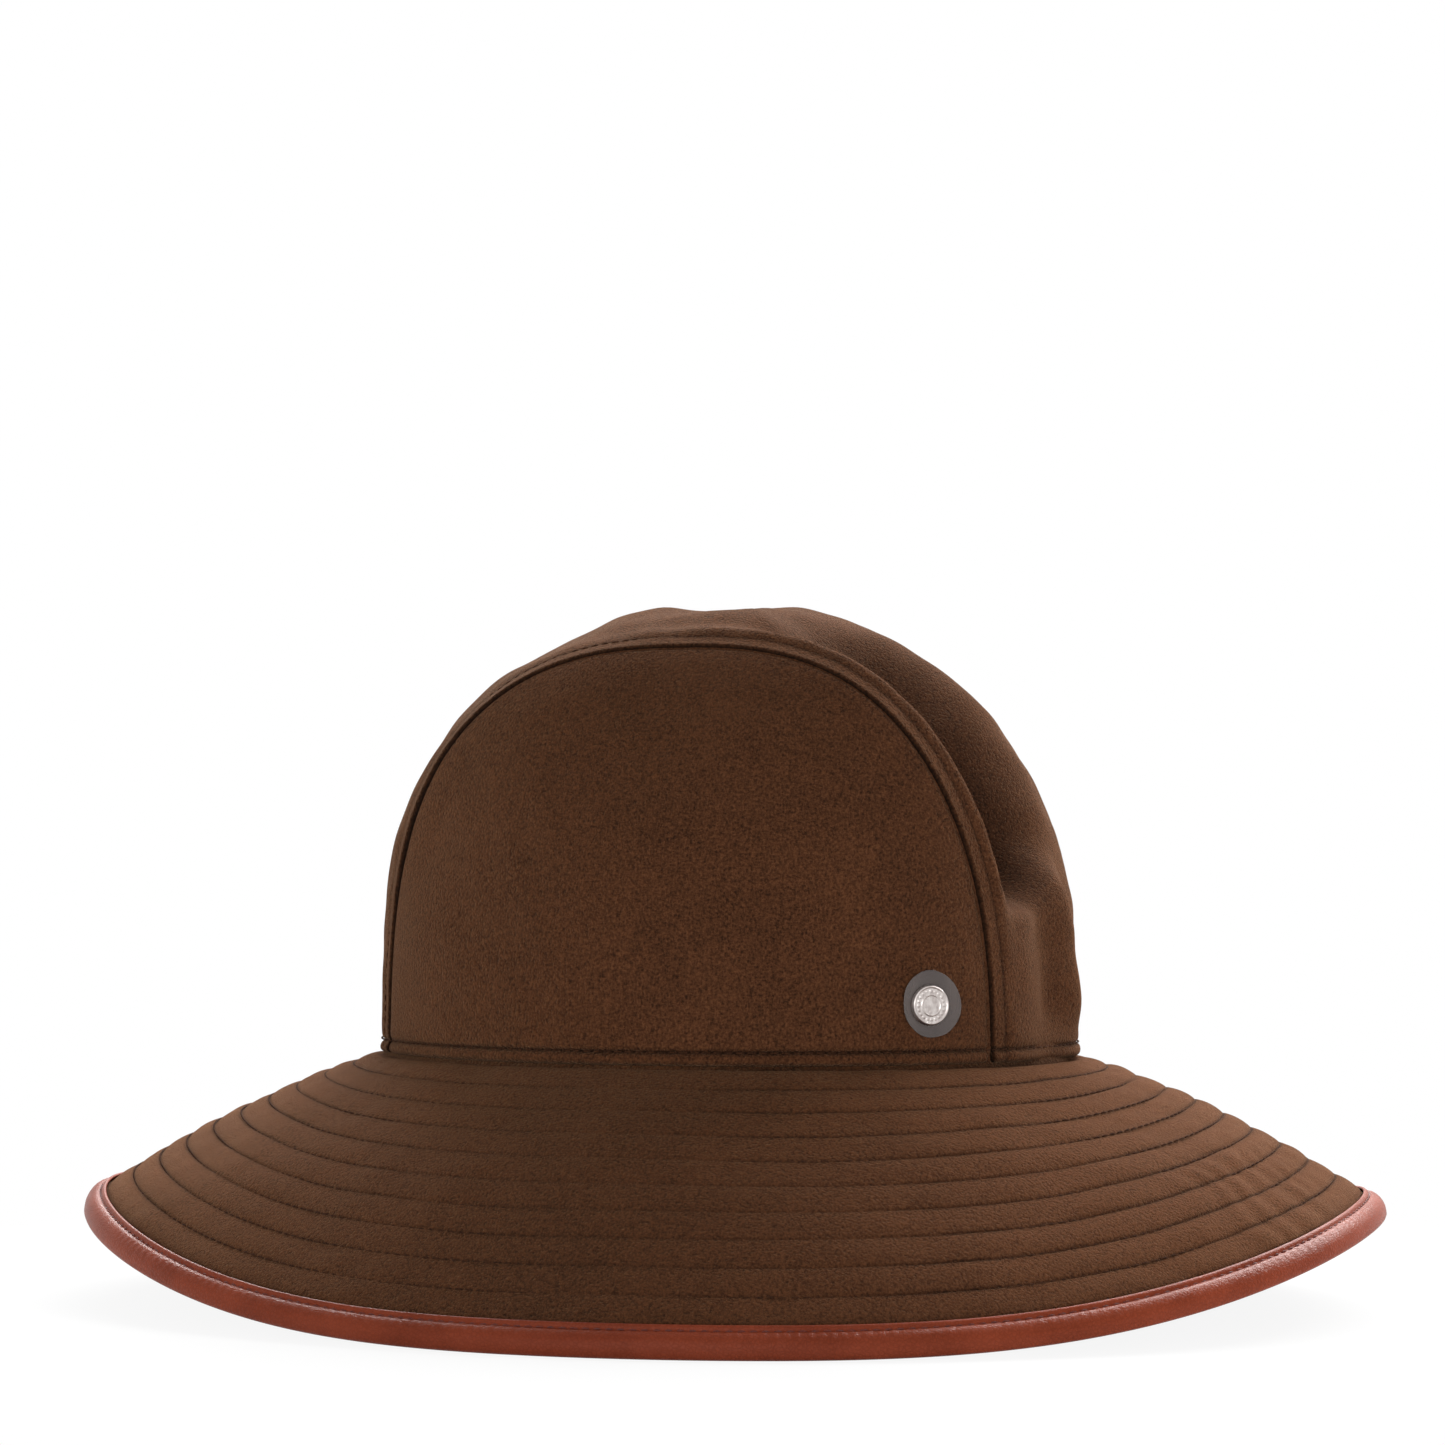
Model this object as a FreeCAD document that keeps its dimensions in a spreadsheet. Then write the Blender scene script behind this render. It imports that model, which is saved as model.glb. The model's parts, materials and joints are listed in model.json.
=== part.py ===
"""Soft sewn hat with a wide stitched brim, a leather-bound edge and a small round stud.

Frame: millimetres, +Z up, origin under the middle of the hat on the plane it rests on, X along
the long way of the head oval. The crown is two D-shaped side panels and a strip over the top
between them. The brim is two cloth plies with a stiffener between, held by rows of lockstitch,
and its edge is a leather binding round a soft cord.
"""
import FreeCAD, Part
import math
import os
import Sketcher

SIZES = (
    ("crown_half_length", 106.0, "outside half length of the crown at its base"),
    ("crown_half_width", 85.0, "outside half width of the crown at its base"),
    ("crown_height", 133.5, "top of the strip above the crown seam"),
    ("crown_squareness", 2.3, "power of the strip's side outline, 2 is an ellipse"),
    ("panel_length_share", 0.87264, "half length of a side panel at its base, as a share of the crown's"),
    ("panel_height", 120.0, "top of a side panel above the crown seam"),
    ("panel_squareness", 2.6, "power of the side panel's outline"),
    ("panel_top_half_width", 46.0, "half width between the side panels at their top"),
    ("panel_lean", 2.3, "power of the side panels' inward lean with height"),
    ("cloth", 1.3, "thickness of the felted wool cloth"),
    ("lining", 0.4, "thickness of the lining"),
    ("lining_gap", 0.3, "air between the seam allowances and the lining"),
    ("sweatband", 0.6, "thickness of the sweatband ribbon"),
    ("sweatband_height", 28.0, "height of the sweatband"),
    ("sweatband_gap", 0.3, "air between the lining and the sweatband"),
    ("ply_gap", 0.1, "air between plies"),
    ("seam_gap", 0.3, "air between pieces that meet at a seam"),
    ("crown_lift", 0.2, "air between the brim and the foot of the crown"),
    ("seam_allowance", 8.0, "height of the brim plies turned up inside the crown"),
    ("stiffener", 0.6, "thickness of the brim stiffener"),
    ("brim_width", 101.0, "crown seam to brim edge, measured along the slope"),
    ("brim_side_slope", 45.0, "mean slope of the brim beside the ears, degrees"),
    ("brim_end_slope", 26.0, "mean slope of the brim at the front and back, degrees"),
    ("brim_turn", 17.0, "how much steeper the brim is at its edge than at the seam, degrees"),
    ("brim_saddle", 4.5, "power that sets how far round the steep sides reach"),
    ("binding", 0.9, "thickness of the binding leather"),
    ("binding_cover", 9.1, "width of binding seen on top of the brim"),
    ("binding_gap", 0.2, "air between the brim's plies and the binding"),
    ("cord_gap", 0.3, "air between the binding and the cord in the rolled edge"),
    ("thread_radius", 0.25, "radius of the sewing thread"),
    ("thread_gap", 0.05, "air under a stitch"),
    ("hem_stitch_height", 4.0, "height of the stitch line round the foot of the crown"),
    ("edge_stitch", 5.0, "panel seam to the stitch line on the strip"),
    ("band_stitch_height", 2.5, "height of the stitch line on the sweatband"),
    ("binding_stitch", 1.8, "inner edge of the binding to its stitch line"),
    ("stud_along", 78.0, "stud from the middle of the hat, along X"),
    ("stud_height", 17.0, "stud above the crown seam"),
    ("stud_radius", 5.75, "radius of the stud's cap"),
    ("stud_thickness", 1.6, "thickness of the stud's cap"),
    ("post_radius", 1.5, "radius of the stud's post"),
    ("post_clearance", 0.1, "post to hole, on the radius"),
    ("stud_play", 0.3, "air on each side of what the stud clamps"),
    ("film_radius", 9.0, "radius of the clear film behind the stud"),
    ("film", 0.25, "thickness of the clear film"),
    ("film_shift", 1.0, "film centre from the stud's axis"),
    ("patch_radius", 7.0, "radius of the patch behind the cloth"),
    ("patch", 0.5, "thickness of the patch"),
    ("backplate_radius", 4.5, "radius of the stud's backplate"),
    ("backplate", 0.6, "thickness of the stud's backplate"),
    ("tag_width", 24.0, "width of the blank care tag"),
    ("tag_drop", 14.0, "length of the blank care tag"),
    ("tag", 0.5, "thickness of the folded care tag"),
    ("tag_inset", 1.6, "sweatband to the middle of the care tag, at the back"),
)
BRIM_ROWS = 9
STATIONS = 32
FAN_STEP = 9
PANEL_LEVELS = 6
BAND_LEVELS = 2
ORIGIN = FreeCAD.Vector(0, 0, 0)
UP = FreeCAD.Vector(0, 0, 1)
Y_AXIS = FreeCAD.Vector(0, 1, 0)

doc = FreeCAD.newDocument("Hat")
sheet = doc.addObject("Spreadsheet::Sheet", "Sizes")
for row, (alias, value, meaning) in enumerate(SIZES, start=1):
    sheet.set(f"A{row}", meaning)
    sheet.set(f"B{row}", str(value))
    sheet.setAlias(f"B{row}", alias)
doc.recompute()


class Amount:
    """A number together with the spreadsheet formula that gives it."""

    def __init__(self, value, text=None):
        self.value = float(value)
        self.text = text if text is not None else f"({self.value!r})"

    def __add__(self, other):
        other = amount(other)
        return Amount(self.value + other.value, f"({self.text} + {other.text})")

    def __sub__(self, other):
        other = amount(other)
        return Amount(self.value - other.value, f"({self.text} - {other.text})")

    def __mul__(self, other):
        other = amount(other)
        return Amount(self.value * other.value, f"({self.text} * {other.text})")

    def __truediv__(self, other):
        other = amount(other)
        return Amount(self.value / other.value, f"({self.text} / {other.text})")

    def __neg__(self):
        return amount(-1) * self

    def __radd__(self, other):
        return amount(other) + self

    def __rsub__(self, other):
        return amount(other) - self

    def __rmul__(self, other):
        return amount(other) * self

    def __rtruediv__(self, other):
        return amount(other) / self


def amount(number):
    return number if isinstance(number, Amount) else Amount(number)


def size(alias):
    return Amount(sheet.get(alias), f"Sizes.{alias}")


def sine(degrees):
    return Amount(math.sin(math.radians(degrees.value)), f"sin({degrees.text})")


def cosine(degrees):
    return Amount(math.cos(math.radians(degrees.value)), f"cos({degrees.text})")


def power(base, exponent):
    exponent = amount(exponent)
    return Amount(base.value ** exponent.value, f"pow({base.text}; {exponent.text})")


def angle_of(across, along):
    """Angle in plain degrees of the direction (along, across)."""
    degrees = math.degrees(math.atan2(across.value, along.value))
    return Amount(degrees, f"(atan2({across.text}; {along.text}) / 1 deg)")


# ---------------------------------------------------------------- shape of the crown and brim

HALF_LENGTH = size("crown_half_length")
HALF_WIDTH = size("crown_half_width")
CLOTH = size("cloth")
GAP = size("ply_gap")
THREAD = size("thread_radius")
STACK = CLOTH + GAP + size("stiffener") + GAP + CLOTH
TOP_ALLOWANCE_INSET = CLOTH + 2 * GAP
UNDER_ALLOWANCE_INSET = TOP_ALLOWANCE_INSET + CLOTH + GAP
LINING_INSET = UNDER_ALLOWANCE_INSET + CLOTH + size("lining_gap")
SWEATBAND_INSET = LINING_INSET + size("lining") + size("sweatband_gap")
BINDING_RADIUS = STACK / 2 + size("binding_gap") + size("binding")
CORD_RADIUS = BINDING_RADIUS - size("binding") - size("cord_gap")
PANEL_HALF_LENGTH = HALF_LENGTH * size("panel_length_share")
TURN = size("brim_turn")
WIDTH = size("brim_width")
BEND_RADIUS = WIDTH * 180 / (math.pi * TURN)
NOSE_ALONG = WIDTH - BINDING_RADIUS


def start_slope(cos_angle):
    """Slope of the brim at the crown seam, at one station round the oval."""
    side_share = 1 - power(amount(abs(cos_angle)), size("brim_saddle"))
    mean = size("brim_end_slope") + (size("brim_side_slope") - size("brim_end_slope")) * side_share
    return mean - TURN / 2


def brim_point(slope, along, above):
    """Point on the brim's section: along the slope from the seam, above its top surface."""
    turned = slope + TURN * along / WIDTH
    out = (BEND_RADIUS + above) * sine(turned) - BEND_RADIUS * sine(slope)
    height = (BEND_RADIUS + above) * cosine(turned) - BEND_RADIUS * cosine(slope)
    return out, height


SIDE_SLOPE = start_slope(0.0)
SEAM_HEIGHT = BINDING_RADIUS - brim_point(SIDE_SLOPE, NOSE_ALONG, -(STACK / 2))[1]
CROWN_BASE = SEAM_HEIGHT + size("crown_lift")


def superellipse(angle, half_length, height, squareness):
    """Distance from the origin to |x/half_length|^n + |z/height|^n = 1 in one direction."""
    along = power(abs(math.cos(math.radians(angle))) / half_length, squareness)
    up = power(abs(math.sin(math.radians(angle))) / height, squareness)
    return power(along + up, -1 / squareness)


def panel_half_width(height, inset):
    """Half width between the side panels at one height."""
    rise = power(height / size("panel_height"), size("panel_lean"))
    return HALF_WIDTH - inset - (HALF_WIDTH - size("panel_top_half_width")) * rise


def strip_section(angle, inset):
    """Seam distance, seam half width and arc radius of the strip, in the plane at one angle."""
    seam = superellipse(angle, PANEL_HALF_LENGTH, size("panel_height"), size("panel_squareness")) - inset
    crest = superellipse(angle, HALF_LENGTH, size("crown_height"), size("crown_squareness")) - inset
    along = seam * math.cos(math.radians(angle)) / (HALF_LENGTH - inset)
    height = seam * abs(round(math.sin(math.radians(angle)), 12))
    half_width = panel_half_width(height, inset) * power(1 - along * along, 0.5)
    rise = crest - seam
    radius = (half_width * half_width + rise * rise) / (2 * rise)
    return seam, half_width, rise, radius


# ---------------------------------------------------------------- sketches and bodies

def new_body(name, height=None):
    """A body whose Label names its node, lifted to its place by its Placement."""
    body = doc.addObject("PartDesign::Body", name)
    body.Label = name
    if height is not None:
        body.setExpression("Placement.Base.z", height.text)
    return body


def new_sketch(body, plane):
    """A sketch on one of the body's own origin planes."""
    sketch = body.newObject("Sketcher::SketchObject", f"{body.Label}_sketch")
    origin = {feature.Role: feature for feature in body.Origin.OriginFeatures}
    sketch.AttachmentSupport = [(origin[plane], "")]
    sketch.MapMode = "FlatFace"
    return sketch


def bind(sketch, constraint, formula):
    index = sketch.addConstraint(constraint)
    sketch.setExpression(f"Constraints[{index}]", formula.text)


def bind_point(sketch, edge, end, point):
    bind(sketch, Sketcher.Constraint("DistanceX", edge, end, point[0].value), point[0])
    bind(sketch, Sketcher.Constraint("DistanceY", edge, end, point[1].value), point[1])


def vector(point):
    return FreeCAD.Vector(point[0].value, point[1].value, 0)


def draw_circle(sketch, centre, radius):
    """A full circle."""
    edge = sketch.addGeometry(Part.Circle(vector(centre), UP, radius.value), False)
    bind_point(sketch, edge, 3, centre)
    bind(sketch, Sketcher.Constraint("Radius", edge, radius.value), radius)


def draw_outline(sketch, corners):
    """A closed outline.

    Each corner is (point, None) where a straight edge leaves it, or (point, (middle, radius))
    where an arc does.
    """
    count = len(corners)
    ends = []
    for index, (point, arc) in enumerate(corners):
        start = vector(point)
        finish = vector(corners[(index + 1) % count][0])
        if arc is None:
            edge = sketch.addGeometry(Part.LineSegment(start, finish), False)
        else:
            middle, radius = arc
            edge = sketch.addGeometry(Part.Arc(start, vector(middle), finish), False)
            bind(sketch, Sketcher.Constraint("Radius", edge, radius.value), radius)
        forward = sketch.getPoint(edge, 1).distanceToPoint(start) < 1e-6
        ends.append((edge, 1, 2) if forward else (edge, 2, 1))
    for index, (point, _) in enumerate(corners):
        edge, begin, _ = ends[index]
        before, _, end = ends[index - 1]
        sketch.addConstraint(Sketcher.Constraint("Coincident", before, end, edge, begin))
        bind_point(sketch, edge, begin, point)


def draw_round(sketch, centre, radius, count=4):
    """A circle in several equal arcs, which keep a loft of many circles from twisting."""
    arcs = []
    for number in range(count):
        start, through = (
            (centre[0] + radius * round(math.cos(turn), 12), centre[1] + radius * round(math.sin(turn), 12))
            for turn in (2 * math.pi * number / count, 2 * math.pi * (number + 0.5) / count)
        )
        arcs.append((start, (through, radius)))
    draw_outline(sketch, arcs)


def draw_ellipse(sketch, half_length, half_width):
    """An ellipse about the sketch's origin, long way along its x axis."""
    tip = FreeCAD.Vector(half_length.value, 0, 0)
    side = FreeCAD.Vector(0, half_width.value, 0)
    sketch.addGeometry(Part.Ellipse(tip, side, ORIGIN), False)
    sketch.exposeInternalGeometry(0)
    sketch.addConstraint(Sketcher.Constraint("Coincident", 0, 3, -1, 1))
    sketch.addConstraint(Sketcher.Constraint("Horizontal", 1))
    bind(sketch, Sketcher.Constraint("Distance", 1, 2 * half_length.value), 2 * half_length)
    bind(sketch, Sketcher.Constraint("Distance", 2, 2 * half_width.value), 2 * half_width)


def loft(body, kind, sketches, closed=False):
    """An AdditiveLoft or SubtractiveLoft through the sketches in order."""
    feature = body.newObject(f"PartDesign::{kind}", f"{body.Label}_loft")
    feature.Profile = sketches[0]
    feature.Sections = [(sketch, [""]) for sketch in sketches[1:]]
    feature.Closed = closed
    feature.Ruled = False
    return feature


# ---------------------------------------------------------------- rings round the head oval

def ring(name, height, draw):
    """A closed ring of sections that stand square to the head oval.

    draw(sketch, slope) draws one section: x points out from the oval, y points up.
    """
    body = new_body(name, height)
    sketches = []
    for index in range(STATIONS):
        angle = math.radians(360 * index / STATIONS)
        cos_angle = round(math.cos(angle), 12)
        sin_angle = round(math.sin(angle), 12)
        sketch = new_sketch(body, "XZ_Plane")
        heading = angle_of(HALF_LENGTH * sin_angle, HALF_WIDTH * cos_angle)
        turned = FreeCAD.Rotation(Y_AXIS, heading.value)
        sketch.AttachmentOffset = FreeCAD.Placement(ORIGIN, turned)
        sketch.setExpression("AttachmentOffset.Base.x", (HALF_LENGTH * cos_angle).text)
        sketch.setExpression("AttachmentOffset.Base.z", (-(HALF_WIDTH * sin_angle)).text)
        sketch.setExpression("AttachmentOffset.Rotation.Angle", heading.text)
        draw(sketch, start_slope(cos_angle))
        sketches.append(sketch)
    loft(body, "AdditiveLoft", sketches, closed=True)
    return body


def brim_edge(slope, begin, end, above):
    """Corner and arc of one long side of a brim ply, from begin to end along the slope."""
    middle = brim_point(slope, (begin + end) / 2, above)
    return brim_point(slope, begin, above), (middle, BEND_RADIUS + above)


PLY_END = WIDTH - BINDING_RADIUS - CORD_RADIUS - GAP


def brim_ply(name, top, thickness, turn_up_inset=None):
    """One ply of the brim, with its seam allowance turned up inside the crown if it has one."""
    begin = amount(0)

    def draw(sketch, slope):
        bottom = top - thickness
        upper = brim_edge(slope, begin, PLY_END, top)
        lower = brim_edge(slope, PLY_END, begin, bottom)
        corners = [upper, (brim_point(slope, PLY_END, top), None), lower]
        inner_foot = brim_point(slope, begin, bottom)
        if turn_up_inset is None:
            corners.append((inner_foot, None))
        else:
            face = -turn_up_inset
            back = face - thickness
            rise = size("seam_allowance")
            seam = brim_point(slope, begin, top)
            corners += [
                (inner_foot, None), ((back, inner_foot[1]), None), ((back, rise), None),
                ((face, rise), None), ((face, seam[1]), None),
            ]
        draw_outline(sketch, corners)

    return ring(name, SEAM_HEIGHT, draw)


def rolled_edge(name):
    """Leather folded over the brim's edge, with a round nose that holds the cord."""
    middle = -(STACK / 2)

    def draw(sketch, slope):
        nose = brim_point(slope, NOSE_ALONG, middle)
        tilt = slope + TURN * NOSE_ALONG / WIDTH
        reach = size("binding_cover") - BINDING_RADIUS

        def spot(turn, radius, back=None):
            """Point at one angle round the nose, moved back along the brim for a leg's end."""
            out = nose[0] + radius * cosine(turn - tilt)
            height = nose[1] + radius * sine(turn - tilt)
            if back is not None:
                out = out - back * cosine(tilt)
                height = height + back * sine(tilt)
            return out, height

        outer = BINDING_RADIUS
        inner = outer - size("binding")
        top, front, under = amount(90), amount(0), amount(-90)
        half = amount(45)
        draw_outline(sketch, [
            (spot(top, outer, reach), None),
            (spot(top, outer), (spot(half, outer), outer)),
            (spot(front, outer), (spot(-half, outer), outer)),
            (spot(under, outer), None),
            (spot(under, outer, reach), None),
            (spot(under, inner, reach), None),
            (spot(under, inner), (spot(-half, inner), inner)),
            (spot(front, inner), (spot(half, inner), inner)),
            (spot(top, inner), None),
            (spot(top, inner, reach), None),
        ])

    return ring(name, SEAM_HEIGHT, draw)


def round_ring(name, height, radius, place, count=4):
    """A ring of round section, in count arcs, whose centre place(slope) gives."""
    return ring(name, height, lambda sketch, slope: draw_round(sketch, place(slope), radius, count))


ABOVE_TOP = THREAD + size("thread_gap")
BELOW_UNDER = -(STACK + ABOVE_TOP)


def brim_rows():
    """Needle thread on top and bobbin thread below, for each row of the brim's stitching."""
    pitch = (WIDTH - size("binding_cover")) / (BRIM_ROWS + 1)
    for number in range(1, BRIM_ROWS + 1):
        along = pitch * number
        round_ring(f"brim_needle_row_{number}", SEAM_HEIGHT, THREAD,
                   lambda slope, along=along: brim_point(slope, along, ABOVE_TOP))
        round_ring(f"brim_bobbin_row_{number}", SEAM_HEIGHT, THREAD,
                   lambda slope, along=along: brim_point(slope, along, BELOW_UNDER))


def binding_stitches():
    """Lockstitch through both legs of the binding."""
    along = WIDTH - size("binding_cover") + size("binding_stitch")
    proud = BINDING_RADIUS - STACK / 2 + ABOVE_TOP + GAP
    for name, above in (("binding_needle_row", proud), ("binding_bobbin_row", -(STACK + proud))):
        round_ring(name, SEAM_HEIGHT, THREAD, lambda slope, above=above: brim_point(slope, along, above))


# ---------------------------------------------------------------- crown

def fan_sketch(body, angle):
    """A sketch that holds the Y axis and leans back round it: x points away from that axis."""
    sketch = new_sketch(body, "XY_Plane")
    sketch.AttachmentOffset = FreeCAD.Placement(ORIGIN, FreeCAD.Rotation(Y_AXIS, -angle))
    return sketch


def strip(name, inset, thickness):
    """The strip over the top of the crown, from the front of the seam to the back."""
    body = new_body(name, CROWN_BASE)
    sketches = []
    for angle in range(0, 181, FAN_STEP):
        seam, half_width, rise, radius = strip_section(angle, inset)
        inside = radius - thickness
        to_centre = radius - rise
        inner_half_width = power(inside * inside - to_centre * to_centre, 0.5)
        sketch = fan_sketch(body, angle)
        draw_outline(sketch, [
            ((seam, -half_width), ((seam + rise, amount(0)), radius)),
            ((seam, half_width), None),
            ((seam, inner_half_width), ((seam + rise - thickness, amount(0)), inside)),
            ((seam, -inner_half_width), None),
        ])
        sketches.append(sketch)
    loft(body, "AdditiveLoft", sketches)
    return body


def wall_levels(body, inset, levels, height, follow_ends=False):
    """Ellipses up the wall of the crown, from its foot to the given height."""
    sketches = []
    for level in range(levels + 1):
        rise = height * (level / levels)
        half_length = HALF_LENGTH
        if follow_ends:
            squareness = size("crown_squareness")
            left = 1 - power(rise / size("crown_height"), squareness)
            half_length = HALF_LENGTH * power(left, 1 / squareness)
        sketch = new_sketch(body, "XY_Plane")
        sketch.setExpression("AttachmentOffset.Base.z", rise.text)
        draw_ellipse(sketch, half_length - inset, panel_half_width(rise, inset))
        sketches.append(sketch)
    return sketches


def keep_one_side(body, side):
    """Cut the half of the crown on the far side of the X axis away from this panel."""
    sketch = new_sketch(body, "XZ_Plane")
    reach = 2 * HALF_LENGTH
    draw_outline(sketch, [
        ((-reach, -reach), None), ((reach, -reach), None), ((reach, reach), None), ((-reach, reach), None),
    ])
    cut = body.newObject("PartDesign::Pocket", f"{body.Label}_half")
    cut.Profile = sketch
    cut.setExpression("Length", (2 * HALF_WIDTH).text)
    cut.Reversed = side > 0


def side_panel(name, side, inset, thickness):
    """One D-shaped side panel: a leaning elliptical wall trimmed to the strip's seam."""
    body = new_body(name, CROWN_BASE)
    height = size("panel_height")
    loft(body, "AdditiveLoft", wall_levels(body, inset, PANEL_LEVELS, height))
    loft(body, "SubtractiveLoft", wall_levels(body, inset + thickness, PANEL_LEVELS, height))
    trims = []
    for angle in range(-FAN_STEP, 181 + FAN_STEP, FAN_STEP):
        seam = strip_section(angle, inset)[0] - size("seam_gap")
        far = seam + HALF_LENGTH
        sketch = fan_sketch(body, angle)
        draw_outline(sketch, [
            ((seam, -HALF_LENGTH), None), ((far, -HALF_LENGTH), None),
            ((far, HALF_LENGTH), None), ((seam, HALF_LENGTH), None),
        ])
        trims.append(sketch)
    loft(body, "SubtractiveLoft", trims)
    keep_one_side(body, side)
    return body


def sweatband():
    """Ribbon round the inside of the crown's foot."""
    body = new_body("sweatband", CROWN_BASE)
    height = size("sweatband_height")
    inset = SWEATBAND_INSET
    loft(body, "AdditiveLoft", wall_levels(body, inset, BAND_LEVELS, height, True))
    loft(body, "SubtractiveLoft", wall_levels(body, inset + size("sweatband"), BAND_LEVELS, height, True))
    return body


def strip_stitches(name, side):
    """Stitch line on the strip, beside one of its two seams, from just above the hem stitch."""
    body = new_body(name, CROWN_BASE)
    above_hem = size("hem_stitch_height").value + 4 * THREAD.value
    foot = math.degrees(math.atan2(above_hem, HALF_LENGTH.value))
    sketches = []
    for angle in (foot, *range(FAN_STEP, 180, FAN_STEP), 180 - foot):
        seam, half_width, rise, radius = strip_section(angle, amount(0))
        step = size("edge_stitch") * 180 / (math.pi * radius)
        seam_sine = half_width / radius
        seam_cosine = (radius - rise) / radius
        across = seam_sine * cosine(step) - seam_cosine * sine(step)
        outward = seam_cosine * cosine(step) + seam_sine * sine(step)
        reach = radius + ABOVE_TOP + GAP
        sketch = fan_sketch(body, angle)
        draw_round(sketch, (seam + rise - radius + reach * outward, side * (reach * across)), THREAD)
        sketches.append(sketch)
    loft(body, "AdditiveLoft", sketches)
    return body


# ---------------------------------------------------------------- stud and care tag

def stud_frame():
    """Point of the near panel's outside that the stud stands on, and the way it faces."""
    along = size("stud_along")
    height = size("stud_height")
    half_width = panel_half_width(height, amount(0))
    share = along / HALF_LENGTH
    across = half_width * power(1 - share * share, 0.5)
    normal_x = along / (HALF_LENGTH * HALF_LENGTH)
    normal_y = across / (half_width * half_width)
    narrowing = (HALF_WIDTH - half_width) * size("panel_lean") / height
    normal_z = across * across * narrowing / power(half_width, 3)
    heading = angle_of(-normal_y, normal_x)
    lean = angle_of(normal_z, power(normal_x * normal_x + normal_y * normal_y, 0.5))
    return along, -across, height + CROWN_BASE, heading, lean


def stud_body(name):
    """A body whose X axis is the stud's axis, with X = 0 on the outside of the cloth."""
    body = new_body(name)
    x, y, z, heading, lean = stud_frame()
    position = f"create(<<vector>>; {x.text}; {y.text}; {z.text})"
    rotation = f"create(<<rotation>>; {heading.text}; {(-lean).text}; 0)"
    body.setExpression("Placement", f"create(<<placement>>; {position}; {rotation})")
    return body


def stud_disc(name, begin, thickness, radius, hole=None, shift=None):
    """A flat disc square to the stud's axis, padded outward from begin, with a hole for the post."""
    body = stud_body(name)
    sketch = new_sketch(body, "YZ_Plane")
    sketch.setExpression("AttachmentOffset.Base.z", begin.text)
    draw_circle(sketch, (shift if shift is not None else amount(0), amount(0)), radius)
    if hole is not None:
        draw_circle(sketch, (amount(0), amount(0)), hole)
    pad = body.newObject("PartDesign::Pad", f"{name}_pad")
    pad.Profile = sketch
    pad.setExpression("Length", thickness.text)
    return body


def stud_cap(name, begin):
    """Low domed cap, turned about the stud's axis."""
    body = stud_body(name)
    radius = size("stud_radius")
    top = begin + size("stud_thickness")
    rim = begin + size("stud_thickness") * 0.45
    drop = top - rim
    dome = (radius * radius + drop * drop) / (2 * drop)
    half_reach = radius / 2
    crown = top - dome + power(dome * dome - half_reach * half_reach, 0.5)
    sketch = new_sketch(body, "XY_Plane")
    draw_outline(sketch, [
        ((begin, amount(0)), None),
        ((begin, radius), None),
        ((rim, radius), ((crown, half_reach), dome)),
        ((top, amount(0)), None),
    ])
    turned = body.newObject("PartDesign::Revolution", f"{name}_turned")
    turned.Profile = sketch
    turned.ReferenceAxis = (sketch, ["H_Axis"])
    turned.Angle = 360
    return body


def stud():
    """Cap, post and backplate that turn together, and the film and patch that stay with the cloth."""
    hole = size("post_radius") + size("post_clearance")
    play = size("stud_play")
    film_back = GAP
    cap_back = film_back + size("film") + play
    patch_radius = size("patch_radius")
    wall_sag = patch_radius * patch_radius / (2 * HALF_WIDTH)
    patch_back = -(CLOTH + GAP + wall_sag + size("patch"))
    plate_front = patch_back - play
    stud_disc("clear_film", film_back, size("film"), size("film_radius"), hole, size("film_shift"))
    stud_disc("stud_patch", patch_back, size("patch"), patch_radius, hole)
    stud_disc("stud_post", plate_front, cap_back - plate_front, size("post_radius"))
    stud_disc("stud_backplate", plate_front - size("backplate"), size("backplate"), size("backplate_radius"))
    stud_cap("stud_cap", cap_back)


def pierce_for_stud(body):
    """Hole for the stud's post through the near side panel."""
    x, y, _, heading, _ = stud_frame()
    sketch = new_sketch(body, "XZ_Plane")
    turned = heading + 90
    sketch.AttachmentOffset = FreeCAD.Placement(ORIGIN, FreeCAD.Rotation(Y_AXIS, turned.value))
    sketch.setExpression("AttachmentOffset.Rotation.Angle", turned.text)
    sideways = x * cosine(turned) + y * sine(turned)
    draw_circle(sketch, (sideways, size("stud_height")), size("post_radius") + size("post_clearance"))
    cut = body.newObject("PartDesign::Pocket", f"{body.Label}_post_hole")
    cut.Profile = sketch
    cut.setExpression("Length", (2 * HALF_LENGTH).text)
    cut.Reversed = True
    return cut


def care_tag():
    """Blank folded tag that hangs inside from the top of the sweatband, at the back."""
    body = new_body("care_tag", CROWN_BASE + size("sweatband_height"))
    squareness = size("crown_squareness")
    lean = power(1 - power(size("sweatband_height") / size("crown_height"), squareness), 1 / squareness)
    inside = HALF_LENGTH * lean - SWEATBAND_INSET - size("sweatband") - size("tag_inset")
    body.setExpression("Placement.Base.x", (-inside).text)
    sketch = new_sketch(body, "YZ_Plane")
    half = size("tag_width") / 2
    drop = size("tag_drop")
    draw_outline(sketch, [
        ((-half, -drop), None), ((half, -drop), None), ((half, amount(0)), None), ((-half, amount(0)), None),
    ])
    pad = body.newObject("PartDesign::Pad", "care_tag_pad")
    pad.Profile = sketch
    pad.Midplane = True
    pad.setExpression("Length", size("tag").text)
    return body


# ---------------------------------------------------------------- the hat

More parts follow.
